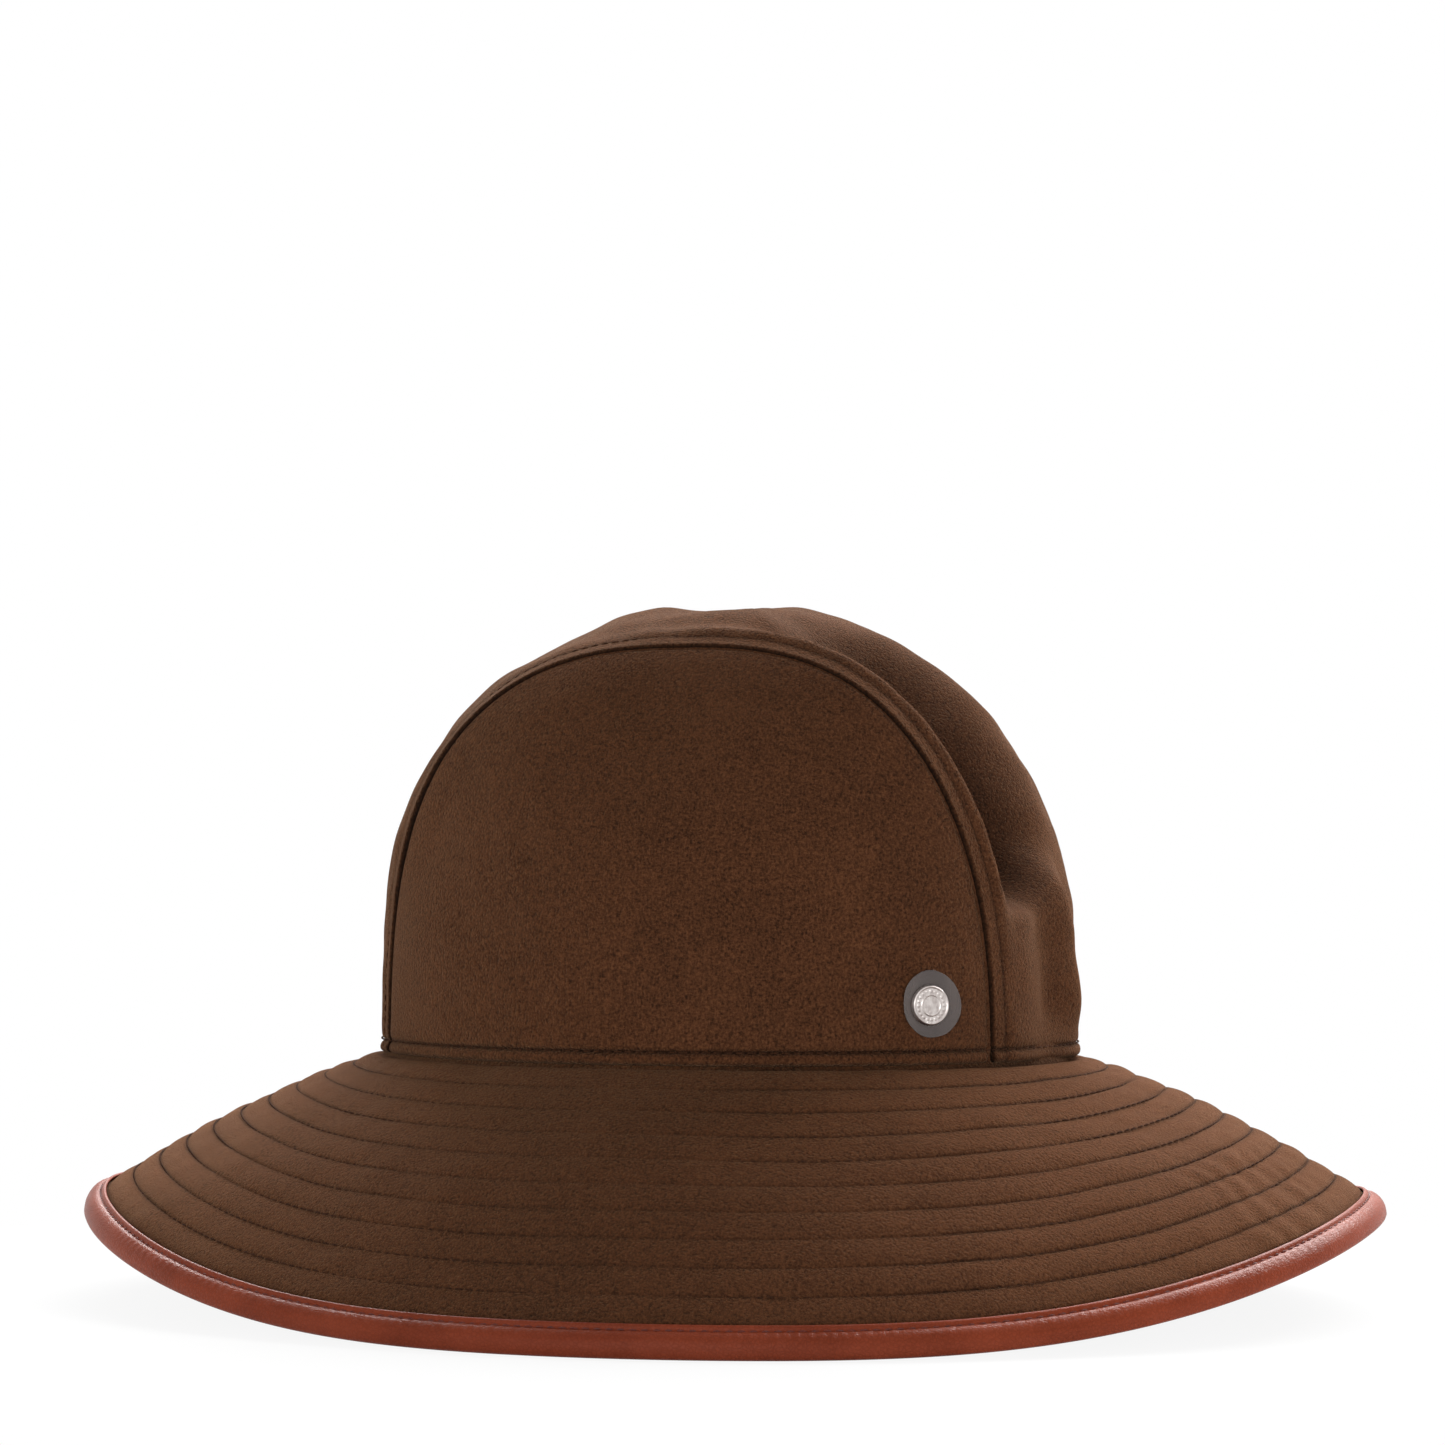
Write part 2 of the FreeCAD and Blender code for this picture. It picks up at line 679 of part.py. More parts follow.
brim_top = -(CLOTH + GAP)
brim_under = brim_top - size("stiffener") - GAP
brim_ply("brim_top_cloth", amount(0), CLOTH, TOP_ALLOWANCE_INSET)
brim_ply("brim_stiffener", brim_top, size("stiffener"))
brim_ply("brim_under_cloth", brim_under, CLOTH, UNDER_ALLOWANCE_INSET)
rolled_edge("edge_binding")
round_ring("edge_cord", SEAM_HEIGHT, CORD_RADIUS,
           lambda slope: brim_point(slope, NOSE_ALONG, -(STACK / 2)), count=6)
brim_rows()
binding_stitches()

strip("crown_strip", amount(0), CLOTH)
near_panel = side_panel("side_panel_near", -1, amount(0), CLOTH)
side_panel("side_panel_far", 1, amount(0), CLOTH)
strip("lining_strip", LINING_INSET, size("lining"))
side_panel("lining_near", -1, LINING_INSET, size("lining"))
side_panel("lining_far", 1, LINING_INSET, size("lining"))
sweatband()
strip_stitches("strip_stitch_near", -1)
strip_stitches("strip_stitch_far", 1)
outside_foot = (ABOVE_TOP + 3 * GAP, size("hem_stitch_height"))
round_ring("hem_stitch", CROWN_BASE, THREAD, lambda slope: outside_foot)
band_face = SWEATBAND_INSET + size("sweatband") + ABOVE_TOP + GAP
inside_foot = (-band_face, size("band_stitch_height"))
round_ring("sweatband_stitch", CROWN_BASE, THREAD, lambda slope: inside_foot)
stud()
care_tag()

doc.recompute()
whole = near_panel.Shape.Volume
post_hole = pierce_for_stud(near_panel)
near_panel.Tip = post_hole
doc.recompute()
removed = whole - near_panel.Shape.Volume
if removed < 1.0:
    raise RuntimeError(f"the post hole took only {removed:.3f} cubic millimetres from the panel")

failed = [item.Name for item in doc.Objects if set(item.State) & {"Invalid", "Error"}]
if failed:
    raise RuntimeError(f"failed objects: {failed}")
bodies = [item for item in doc.Objects if item.TypeId == "PartDesign::Body"]
for body in bodies:
    if body.Shape.isNull() or not body.Shape.isValid():
        raise RuntimeError(f"bad shape: {body.Label}")

os.makedirs("parts", exist_ok=True)
for body in bodies:
    body.Shape.exportStep(os.path.join("parts", f"{body.Label}.step"))
print(f"{len(bodies)} nodes, seam at {SEAM_HEIGHT.value:.2f} mm, stud hole took {removed:.1f} cubic mm")
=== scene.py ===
"""A soft sewn hat with a quilted brim and a rolled leather edge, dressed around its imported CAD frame.

Lengths are in metres and angles in radians unless a name says otherwise. X runs along the hat, the
near side with the stud faces -Y, and Z is up. `around` is an angle of the head oval, 0 at +X.
"""

import json
import logging
import math
from dataclasses import dataclass
from enum import Enum

import bpy
import numpy as np
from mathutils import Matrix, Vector

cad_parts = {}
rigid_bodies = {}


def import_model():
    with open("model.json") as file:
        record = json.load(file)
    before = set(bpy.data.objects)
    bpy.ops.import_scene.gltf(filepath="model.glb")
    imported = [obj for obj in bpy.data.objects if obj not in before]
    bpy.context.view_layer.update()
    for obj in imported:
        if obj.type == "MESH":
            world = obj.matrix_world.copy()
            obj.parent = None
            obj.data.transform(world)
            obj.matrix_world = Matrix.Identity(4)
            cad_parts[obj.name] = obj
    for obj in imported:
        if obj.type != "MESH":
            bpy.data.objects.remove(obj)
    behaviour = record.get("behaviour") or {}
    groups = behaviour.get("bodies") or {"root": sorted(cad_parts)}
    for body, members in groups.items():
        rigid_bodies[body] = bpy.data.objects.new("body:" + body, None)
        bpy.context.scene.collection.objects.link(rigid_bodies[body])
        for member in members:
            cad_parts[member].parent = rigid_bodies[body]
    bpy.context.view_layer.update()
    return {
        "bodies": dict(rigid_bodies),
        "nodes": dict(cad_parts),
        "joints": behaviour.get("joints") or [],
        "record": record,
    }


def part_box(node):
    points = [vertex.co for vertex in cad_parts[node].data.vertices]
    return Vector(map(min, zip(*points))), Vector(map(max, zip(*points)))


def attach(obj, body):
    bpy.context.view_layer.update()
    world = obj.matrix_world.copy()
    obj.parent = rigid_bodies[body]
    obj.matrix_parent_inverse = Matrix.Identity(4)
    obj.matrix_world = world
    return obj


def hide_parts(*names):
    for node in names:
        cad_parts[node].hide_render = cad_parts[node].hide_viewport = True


log = logging.getLogger("hat")
MM = 0.001
TAU = 2 * math.pi
CROWN_FOOT = 72.93 * MM
CLOTH = 1.3 * MM
STACK = 3.4 * MM
ROWS = 9
ROW_PITCH = 9.19 * MM
STITCH_PITCH = 3.2 * MM
WELT_STITCH = 4.05 * MM
STRIP_STITCH = 5 * MM
PLY_END = 96.2 * MM
# The columns of the brim and of its edge step evenly along lines this far outside the head oval.
BRIM_EVEN = 50 * MM
EDGE_EVEN = 82 * MM


class Body(Enum):
    """The CAD bodies that pieces ride on."""

    HAT = "hat"
    STUD = "stud"
    TAG = "tag"


class Side(Enum):
    """The two long sides of the hat, as signs of Y."""

    NEAR = -1
    FAR = 1


# ---------------------------------------------------------------- arrays and soft shapes


def ease(share: np.ndarray) -> np.ndarray:
    """0 below 0, 1 above 1, and a smooth S between."""
    share = np.clip(share, 0, 1)
    return share * share * (3 - 2 * share)


def hill(place: np.ndarray, middle: float, width: float) -> np.ndarray:
    """A round hill one high at the middle, fallen to 0.37 at one width away."""
    return np.exp(-(((place - middle) / width) ** 2))


def turned_in(distance: np.ndarray, reach: float, depth: float) -> np.ndarray:
    """How far cloth dips as its edge turns down into a seam: a parabola that ends at reach."""
    return -depth * np.clip(1 - distance / reach, 0, 1) ** 2


def waves(points: np.ndarray, pitch: float, seed: int, stretch: tuple[float, float, float] = (1, 1, 1),
          count: int = 10) -> np.ndarray:
    """Soft irregular waves: the sum of sines that run in seeded directions.

    Args:
        points: places, with x, y and z on the last axis.
        pitch: typical distance from crest to crest.
        seed: fixes the directions, pitches and phases.
        stretch: how much longer the waves are along each axis.
        count: how many sines are added.

    Returns:
        One height for each place, mostly between -1 and 1.
    """
    random = np.random.default_rng(seed)
    heading = random.normal(size=(count, 3))
    heading /= np.linalg.norm(heading, axis=1, keepdims=True)
    length = pitch * random.uniform(0.7, 1.6, count)
    phase = random.uniform(0, TAU, count)
    turns = (points / np.array(stretch)) @ (heading / length[:, None]).T * TAU + phase
    return np.sin(turns).sum(-1) / math.sqrt(count)


def graded(length: float, edges: tuple[float, ...], pitch: float) -> np.ndarray:
    """Places from 0 to length, close together near both ends as the edge distances say.

    Args:
        length: the whole distance.
        edges: distances from either end, rising from 0.
        pitch: wanted distance between places away from the ends.

    Returns:
        Rising places, 0 and length among them.
    """
    near = np.array(edges)
    middle = max(2, round((length - 2 * near[-1]) / pitch))
    between = np.linspace(near[-1], length - near[-1], middle + 1)[1:-1]
    return np.concatenate([near, between, length - near[::-1]])


def normals(grid: np.ndarray, away_from: np.ndarray, around: bool = False) -> np.ndarray:
    """Unit normals of a surface grid, on the side away from a point.

    Args:
        grid: rows by columns by 3.
        away_from: point behind the surface.
        around: the last column meets the first one.

    Returns:
        Normals in the grid's shape.
    """
    down = np.gradient(grid, axis=0)
    if around:
        across = np.roll(grid, -1, axis=1) - np.roll(grid, 1, axis=1)
    else:
        across = np.gradient(grid, axis=1)
    normal = np.cross(down, across)
    normal /= np.linalg.norm(normal, axis=-1, keepdims=True) + 1e-12
    facing = np.sum(normal * (grid - away_from))
    return normal if facing > 0 else -normal


def travelled_along(line: np.ndarray) -> np.ndarray:
    """Distance travelled from a line's first place to each of its places."""
    step = np.linalg.norm(np.diff(line, axis=0), axis=1)
    return np.concatenate([[0], np.cumsum(step)])


def read_along(where: np.ndarray, travelled: np.ndarray, values: np.ndarray) -> np.ndarray:
    """Vectors known at the places of a line, read straight between them at other distances."""
    return np.stack([np.interp(where, travelled, values[:, axis]) for axis in range(3)], -1)


# ---------------------------------------------------------------- meshes


def signed_volume(points: np.ndarray, faces: list[np.ndarray]) -> float:
    """Volume inside a closed mesh: the sum of the pyramids from the origin to its triangles.

    Args:
        points: corner places.
        faces: arrays of corner numbers, one array for each number of corners.

    Returns:
        The volume, negative where the faces point inwards.
    """
    total = 0.0
    for group in faces:
        for corner in range(1, group.shape[1] - 1):
            a, b, c = (points[group[:, i]] for i in (0, corner, corner + 1))
            total += np.einsum("ij,ij->", a, np.cross(b, c)) / 6
    return total


def make_object(name: str, points: np.ndarray, faces: list[np.ndarray],
                uv: np.ndarray | None = None) -> bpy.types.Object:
    """A smooth mesh object at the origin whose faces point outwards.

    Args:
        name: the piece's name.
        points: corner places, any shape that ends in 3.
        faces: arrays of corner numbers, one array for each number of corners.
        uv: one texture place for each corner of each face of the first array.

    Returns:
        The object, linked to the scene.
    """
    points = points.reshape(-1, 3)
    if signed_volume(points, faces) < 0:
        faces = [group[:, ::-1] for group in faces]
        uv = None if uv is None else uv[:, ::-1]
    mesh = bpy.data.meshes.new(name)
    mesh.from_pydata(points.tolist(), [], [face for group in faces for face in group.tolist()])
    if uv is not None:
        layer = mesh.uv_layers.new(name="UVMap")
        flat = np.zeros((len(mesh.loops), 2), np.float32)
        flat[: uv.shape[0] * uv.shape[1]] = uv.reshape(-1, 2)
        layer.data.foreach_set("uv", flat.ravel())
    mesh.polygons.foreach_set("use_smooth", np.ones(len(mesh.polygons), bool))
    mesh.update()
    piece = bpy.data.objects.new(name, mesh)
    bpy.context.scene.collection.objects.link(piece)
    return piece


def mark_painted_light(piece: bpy.types.Object, depth: np.ndarray) -> None:
    """Stores the painted shade and painted highlight at each corner.

    Args:
        piece: a felt piece.
        depth: painted shade from 0 on plain felt to 1 where darkest in a seam or crease, and a
        painted highlight below 0, for the first corners; corners past the last one get 0.
    """
    layer = piece.data.attributes.new("crease", "FLOAT", "POINT")
    shares = np.zeros(len(piece.data.vertices), np.float32)
    shares[: depth.size] = depth.ravel()
    layer.data.foreach_set("value", shares)


def grid_quads(rows: int, columns: int, rows_meet: bool, columns_meet: bool) -> np.ndarray:
    """Corner numbers of the quads of a grid.

    Args:
        rows: number of rows.
        columns: number of columns.
        rows_meet: the last row is joined to the first.
        columns_meet: the last column is joined to the first.

    Returns:
        Quads by 4.
    """
    row, column = np.meshgrid(np.arange(rows if rows_meet else rows - 1),
                              np.arange(columns if columns_meet else columns - 1), indexing="ij")
    below, beside = (row + 1) % rows, (column + 1) % columns
    corners = (row * columns + column, row * columns + beside,
               below * columns + beside, below * columns + column)
    return np.stack(corners, -1).reshape(-1, 4)


def pole_fans(rings: int, columns: int) -> np.ndarray:
    """Triangles that close both ends of a grid of rings, each with a fan round a pole.

    Args:
        rings: number of rings.
        columns: corners in a ring.

    Returns:
        Triangles by 3. The poles are the two corners after the grid's last one.
    """
    pole = rings * columns
    last = pole - columns
    first = np.arange(columns)
    beside = (first + 1) % columns
    start = np.stack([np.full(columns, pole), beside, first], -1)
    end = np.stack([np.full(columns, pole + 1), last + first, last + beside], -1)
    return np.concatenate([start, end])


def ring_piece(name: str, loop: np.ndarray, uv: tuple[np.ndarray, np.ndarray] | None = None
               ) -> bpy.types.Object:
    """A closed ring: every row runs all the way round, and the last row meets the first.

    Args:
        name: the piece's name.
        loop: rows by columns by 3.
        uv: texture place of each row (rows + 1 long) and each column (columns + 1 long).

    Returns:
        The object.
    """
    rows, columns = loop.shape[:2]
    corners = None
    if uv is not None:
        row, column = np.meshgrid(np.arange(rows), np.arange(columns), indexing="ij")
        steps = ((0, 0), (0, 1), (1, 1), (1, 0))
        corners = np.stack([np.stack([uv[1][column + c], uv[0][row + r]], -1) for r, c in steps], -2)
        corners = corners.reshape(-1, 4, 2)
    return make_object(name, loop, [grid_quads(rows, columns, True, True)], corners)


def sheet_piece(name: str, front: np.ndarray, back: np.ndarray) -> bpy.types.Object:
    """A closed piece of cloth.

    Args:
        name: the piece's name.
        front: rows by columns by 3.
        back: the same for the back, joined to the front round the four edges.

    Returns:
        The object.
    """
    rows, columns = front.shape[:2]
    count = rows * columns
    quads = grid_quads(rows, columns, False, False)
    number = np.arange(count).reshape(rows, columns)
    edge = np.concatenate([number[0, :-1], number[:-1, -1], number[-1, :0:-1], number[:0:-1, 0]])
    after = np.roll(edge, -1)
    rim = np.stack([after, edge, edge + count, after + count], -1)
    faces = np.concatenate([quads, quads[:, ::-1] + count, rim])
    return make_object(name, np.stack([front, back]), [faces])


def disc_piece(name: str, front: np.ndarray, back: np.ndarray) -> bpy.types.Object:
    """A closed round piece: rings from the middle out on the front, and back in on the back.

    Args:
        name: the piece's name.
        front: rings by columns by 3; the first ring is one point repeated.
        back: the same for the back.

    Returns:
        The object, each middle closed with a fan.
    """
    rings = np.concatenate([front[1:], back[:0:-1]])
    count, columns = rings.shape[:2]
    points = np.concatenate([rings.reshape(-1, 3), front[0, :1], back[0, :1]])
    return make_object(name, points, [grid_quads(count, columns, False, True), pole_fans(count, columns)])


@dataclass(frozen=True)
class StitchRun:
    """Lockstitches laid one by one along a path on the cloth.

    Each stitch is a spindle through five stations: `stations` are their places along it as shares
    of its length, `girths` its thickness there and `sinks` its depth, both in radii.
    """

    pitch: float = STITCH_PITCH
    length: float = 2.5 * MM
    radius: float = 0.26 * MM
    sides: int = 6
    stations: tuple[float, ...] = (-0.5, -0.4, 0.0, 0.4, 0.5)
    girths: tuple[float, ...] = (0.0, 0.75, 1.0, 0.75, 0.0)
    sinks: tuple[float, ...] = (-1.3, -0.8, 0.0, -0.8, -1.3)
    look: float = 0.1 * MM

    def lay(self, name: str, path: np.ndarray, up: np.ndarray, closed: bool = True) -> bpy.types.Object:
        """A piece of separate stitches, each along the path and upright on the cloth.

        Args:
            name: the piece's name.
            path: places along the stitch line, close together.
            up: the cloth's normal at each place.
            closed: the line ends where it starts.

        Returns:
            The object.
        """
        if closed:
            path, up = (np.concatenate([a, a[:1]]) for a in (path, up))
        travelled = travelled_along(path)
        count = max(1, int(travelled[-1] / self.pitch))
        middle = (np.arange(count) + 0.5) * travelled[-1] / count
        at = read_along(middle, travelled, path)
        along = (read_along(middle + self.look, travelled, path)
                 - read_along(middle - self.look, travelled, path))
        along /= np.linalg.norm(along, axis=1, keepdims=True) + 1e-12
        rise = read_along(middle, travelled, up)
        rise -= along * np.sum(rise * along, axis=1, keepdims=True)
        rise /= np.linalg.norm(rise, axis=1, keepdims=True)
        side = np.cross(along, rise)
        share = np.array(self.stations)
        girth = np.array(self.girths) * self.radius
        sink = np.array(self.sinks) * self.radius
        turn = np.arange(self.sides) / self.sides * TAU
        ring = (at[:, None, None] + along[:, None, None] * (share * self.length)[None, :, None, None]
                + rise[:, None, None] * (sink[:, None] + girth[:, None] * np.cos(turn))[None, :, :, None]
                + side[:, None, None] * (girth[:, None] * np.sin(turn))[None, :, :, None])
        poles = ring[:, (0, -1), 0]
        body = ring[:, 1:-1].reshape(count, -1, 3)
        points = np.concatenate([body, poles], axis=1)
        base = np.arange(count)[:, None, None] * points.shape[1]
        rings = len(self.stations) - 2
        quads = grid_quads(rings, self.sides, False, True)[None] + base
        fans = pole_fans(rings, self.sides)[None] + base
        return make_object(name, points, [quads.reshape(-1, 4), fans.reshape(-1, 3)])


# ---------------------------------------------------------------- the shapes of the hat


@dataclass(frozen=True)
class HeadOval:
    """The ellipse where crown and brim meet."""

    half_length: float = 106 * MM
    half_width: float = 85 * MM

    def outward(self, around: np.ndarray) -> tuple[np.ndarray, np.ndarray]:
        """The oval's outward normal.

        Args:
            around: angle of the head oval.

        Returns:
            Its X and its Y.
        """
        x, y = self.half_width * np.cos(around), self.half_length * np.sin(around)
        size = np.hypot(x, y)
        return x / size, y / size

    def sweep(self, around: np.ndarray, out: np.ndarray, height: np.ndarray) -> np.ndarray:
        """Places that stand out from the oval along its normal, at a height."""
        x, y = self.outward(around)
        return np.stack(np.broadcast_arrays(self.half_length * np.cos(around) + x * out,
                                            self.half_width * np.sin(around) + y * out, height), -1)

    def even_turns(self, count: int, out: float) -> np.ndarray:
        """Angles that step evenly along the line a distance outside the oval.

        Args:
            count: how many angles.
            out: distance outside the oval.

        Returns:
            The angles, rising from 0.
        """
        turn = np.linspace(0, TAU, 4001)
        line = self.sweep(turn, np.full_like(turn, out), np.zeros_like(turn))
        travelled = travelled_along(line)
        return np.interp(np.arange(count) / count * travelled[-1], travelled, turn)


@dataclass(frozen=True)
class BrimCurve:
    """The brim's slope: an arc in every section, steep beside the ears and flat at front and back.

    The soft brim has settled a little skew: its steep and flat places are turned by `skew` degrees.
    """

    oval: HeadOval = HeadOval()
    skew: float = 9.0
    width: float = 101 * MM
    side_slope: float = 45.0
    end_slope: float = 26.0
    turn: float = 17.0
    saddle: float = 4.5
    seam_height: float = 72.73 * MM

    def section(self, around: np.ndarray, along: np.ndarray, above: np.ndarray
                ) -> tuple[np.ndarray, np.ndarray]:
        """Distance out from the oval and height over the seam of places on the brim's section.

        The section is an arc whose slope grows by `turn` degrees over the brim's width.

        Args:
            around: angle of the head oval.
            along: distance down the slope from the seam.
            above: distance over the brim's upper face.

        Returns:
            The two distances.
        """
        share = 1 - np.abs(np.cos(around - math.radians(self.skew))) ** self.saddle
        start = self.end_slope + (self.side_slope - self.end_slope) * share - self.turn / 2
        radius = self.width / math.radians(self.turn)
        first = np.radians(start)
        angle = first + math.radians(self.turn) * along / self.width
        out = (radius + above) * np.sin(angle) - radius * np.sin(first)
        height = (radius + above) * np.cos(angle) - radius * np.cos(first)
        return out, height

    def place(self, around: np.ndarray, along: np.ndarray, above: np.ndarray) -> np.ndarray:
        """Places on or over the brim."""
        out, height = self.section(around, along, above)
        return self.oval.sweep(around, out, self.seam_height + height)


@dataclass(frozen=True)
class CrownShape:
    """Two leaning side walls and a strip that arches over the top between them.

    An `inset` moves every surface inwards by that much.
    """

    oval: HeadOval = HeadOval()
    height: float = 133.5 * MM
    squareness: float = 2.3
    panel_length: float = 92.5 * MM
    panel_height: float = 120 * MM
    panel_squareness: float = 2.6
    top_half_width: float = 46 * MM
    lean: float = 2.3

    def panel_half_width(self, up: np.ndarray, inset: float) -> np.ndarray:
        """Half width between the side walls at a height: it shrinks as a power of the height."""
        share = np.clip(up / self.panel_height, 0, None) ** self.lean
        return self.oval.half_width - inset - (self.oval.half_width - self.top_half_width) * share

    def wall(self, x: np.ndarray, up: np.ndarray, inset: float) -> np.ndarray:
        """How far a side wall stands from the middle plane: an ellipse at every height."""
        bend = np.clip(1 - (x / (self.oval.half_length - inset)) ** 2, 0, None)
        return self.panel_half_width(up, inset) * np.sqrt(bend)

    @staticmethod
    def outline(angle: np.ndarray, half_length: float, height: float, power: float) -> np.ndarray:
        """Radius of a rounded-square arch at an angle above the foot."""
        cosine, sine = np.abs(np.cos(angle)), np.abs(np.sin(angle))
        return ((cosine / half_length) ** power + (sine / height) ** power) ** (-1 / power)

    def seam_radius(self, angle: np.ndarray, inset: float) -> np.ndarray:
        """Radius of the seam between side panel and strip."""
        return self.outline(angle, self.panel_length, self.panel_height, self.panel_squareness) - inset

    def strip_arc(self, angle: np.ndarray, inset: float
                  ) -> tuple[np.ndarray, np.ndarray, np.ndarray]:
        """The arc across the strip through both seams and the crest.

        Args:
            angle: angle along the arch.
            inset: how far inside the crown's surface.

        Returns:
            The arc's centre's radius, its radius and its half angle.
        """
        seam = self.seam_radius(angle, inset)
        crest = self.outline(angle, self.oval.half_length, self.height, self.squareness) - inset
        half_width = self.wall(seam * np.cos(angle), seam * np.sin(angle), inset)
        rise = crest - seam
        radius = (half_width ** 2 + rise ** 2) / (2 * rise)
        return crest - radius, radius, np.arctan2(half_width, radius - rise)


OVAL = HeadOval()
BRIM = BrimCurve()
CROWN = CrownShape()
HEART = np.array([0.0, 0.0, CROWN_FOOT + 20 * MM])


# ---------------------------------------------------------------- finishes

Colour = tuple[float, float, float]


def paint(red: int, green: int, blue: int) -> Colour:
    """Linear colour from the usual 0 to 255 values."""
    shares = (value / 255 for value in (red, green, blue))
    return tuple(s / 12.92 if s <= 0.04045 else ((s + 0.055) / 1.055) ** 2.4 for s in shares)


class Graph:
    """Adds shader nodes to a tree and links them."""

    def __init__(self, tree: bpy.types.NodeTree) -> None:
        """Starts with an empty tree."""
        self.tree = tree
        tree.nodes.clear()

    def add(self, kind: str, inputs: dict | None = None, **settings: object) -> bpy.types.Node:
        """A new node.

        Args:
            kind: the node type without its ShaderNode prefix.
            inputs: plain values or sockets to link from, by input name or number.
            settings: the node's own properties.

        Returns:
            The node.
        """
        node = self.tree.nodes.new("ShaderNode" + kind)
        for name, value in settings.items():
            setattr(node, name, value)
        for name, value in (inputs or {}).items():
            socket = node.inputs[name]
            if isinstance(value, bpy.types.NodeSocket):
                self.tree.links.new(value, socket)
            elif isinstance(value, tuple) and len(value) == 3 and socket.type == "RGBA":
                socket.default_value = (*value, 1)
            else:
                socket.default_value = value
        return node

    def stretch(self, vector: bpy.types.NodeSocket, scale: Colour, turn: Colour = (0, 0, 0)
                ) -> bpy.types.NodeSocket:
        """Coordinates scaled and turned."""
        mapping = self.add("Mapping", {"Vector": vector, "Scale": scale, "Rotation": turn})
        return mapping.outputs["Vector"]

    def noise(self, vector: bpy.types.NodeSocket, scale: float, detail: float = 3,
              roughness: float = 0.5, distortion: float = 0) -> bpy.types.NodeSocket:
        """A noise field from 0 to 1."""
        inputs = {"Vector": vector, "Scale": scale, "Detail": detail, "Roughness": roughness,
                  "Distortion": distortion}
        return self.add("TexNoise", inputs).outputs["Fac"]

    def spread(self, value: bpy.types.NodeSocket, low: float, high: float, bottom: float = 0,
               top: float = 1) -> bpy.types.NodeSocket:
        """Low to high stretched over bottom to top, and clamped."""
        inputs = {"Value": value, "From Min": low, "From Max": high, "To Min": bottom, "To Max": top}
        return self.add("MapRange", inputs).outputs["Result"]

    def sum(self, *parts: tuple[bpy.types.NodeSocket, float]) -> bpy.types.NodeSocket:
        """The parts added up.

        Args:
            parts: a socket and its factor each.

        Returns:
            The sum.
        """
        total = 0.0
        for value, factor in parts:
            inputs = {0: value, 1: factor, 2: total}
            total = self.add("Math", inputs, operation="MULTIPLY_ADD").outputs[0]
        return total

    def mix(self, share: bpy.types.NodeSocket, first: object, second: object) -> bpy.types.NodeSocket:
        """A colour between two, by share."""
        node = self.add("Mix", {0: share, 6: first, 7: second}, data_type="RGBA")
        return node.outputs[2]

    def group(self, source: bpy.types.NodeTree, inputs: dict) -> bpy.types.Node:
        """A node group put in place.

        Args:
            source: the group.
            inputs: plain values or sockets to link from, by input name.

        Returns:
            Its node.
        """
        node = self.tree.nodes.new("ShaderNodeGroup")
        node.node_tree = source
        for name, value in inputs.items():
            socket = node.inputs[name]
            if isinstance(value, bpy.types.NodeSocket):
                self.tree.links.new(value, socket)
            elif socket.type == "RGBA":
                socket.default_value = (*value, 1)
            else:
                socket.default_value = value
        return node

    def bump(self, height: bpy.types.NodeSocket, depth: float, strength: float = 1
             ) -> bpy.types.NodeSocket:
        """A normal that stands for relief as deep as depth metres."""
        inputs = {"Height": height, "Distance": depth, "Strength": strength}
        return self.add("Bump", inputs).outputs["Normal"]


def new_group(name: str, colours: tuple[str, ...], numbers: tuple[str, ...]
              ) -> tuple[Graph, dict[str, bpy.types.NodeSocket], bpy.types.Node]:
    """An empty group that takes a Vector, colours and numbers, and gives a Color and a Height.

    Args:
        name: the group's name.
        colours: names of its colour inputs.
        numbers: names of its number inputs.

    Returns:
        Its graph, its inputs by name, and its output node.
    """
    tree = bpy.data.node_groups.new(name, "ShaderNodeTree")
    graph = Graph(tree)
    kinds = [("Vector", "NodeSocketVector"), *((c, "NodeSocketColor") for c in colours),
             *((n, "NodeSocketFloat") for n in numbers)]
    for label, kind in kinds:
        tree.interface.new_socket(label, in_out="INPUT", socket_type=kind)
    for label, kind in (("Color", "NodeSocketColor"), ("Height", "NodeSocketFloat")):
        tree.interface.new_socket(label, in_out="OUTPUT", socket_type=kind)
    source = tree.nodes.new("NodeGroupInput")
    target = tree.nodes.new("NodeGroupOutput")
    return graph, {label: source.outputs[label] for label, _ in kinds}, target


# Nearly black painted shade, mixed into the felt in its seams and creases.
PAINTED_SHADE: Colour = (0.004, 0.002, 0.001)


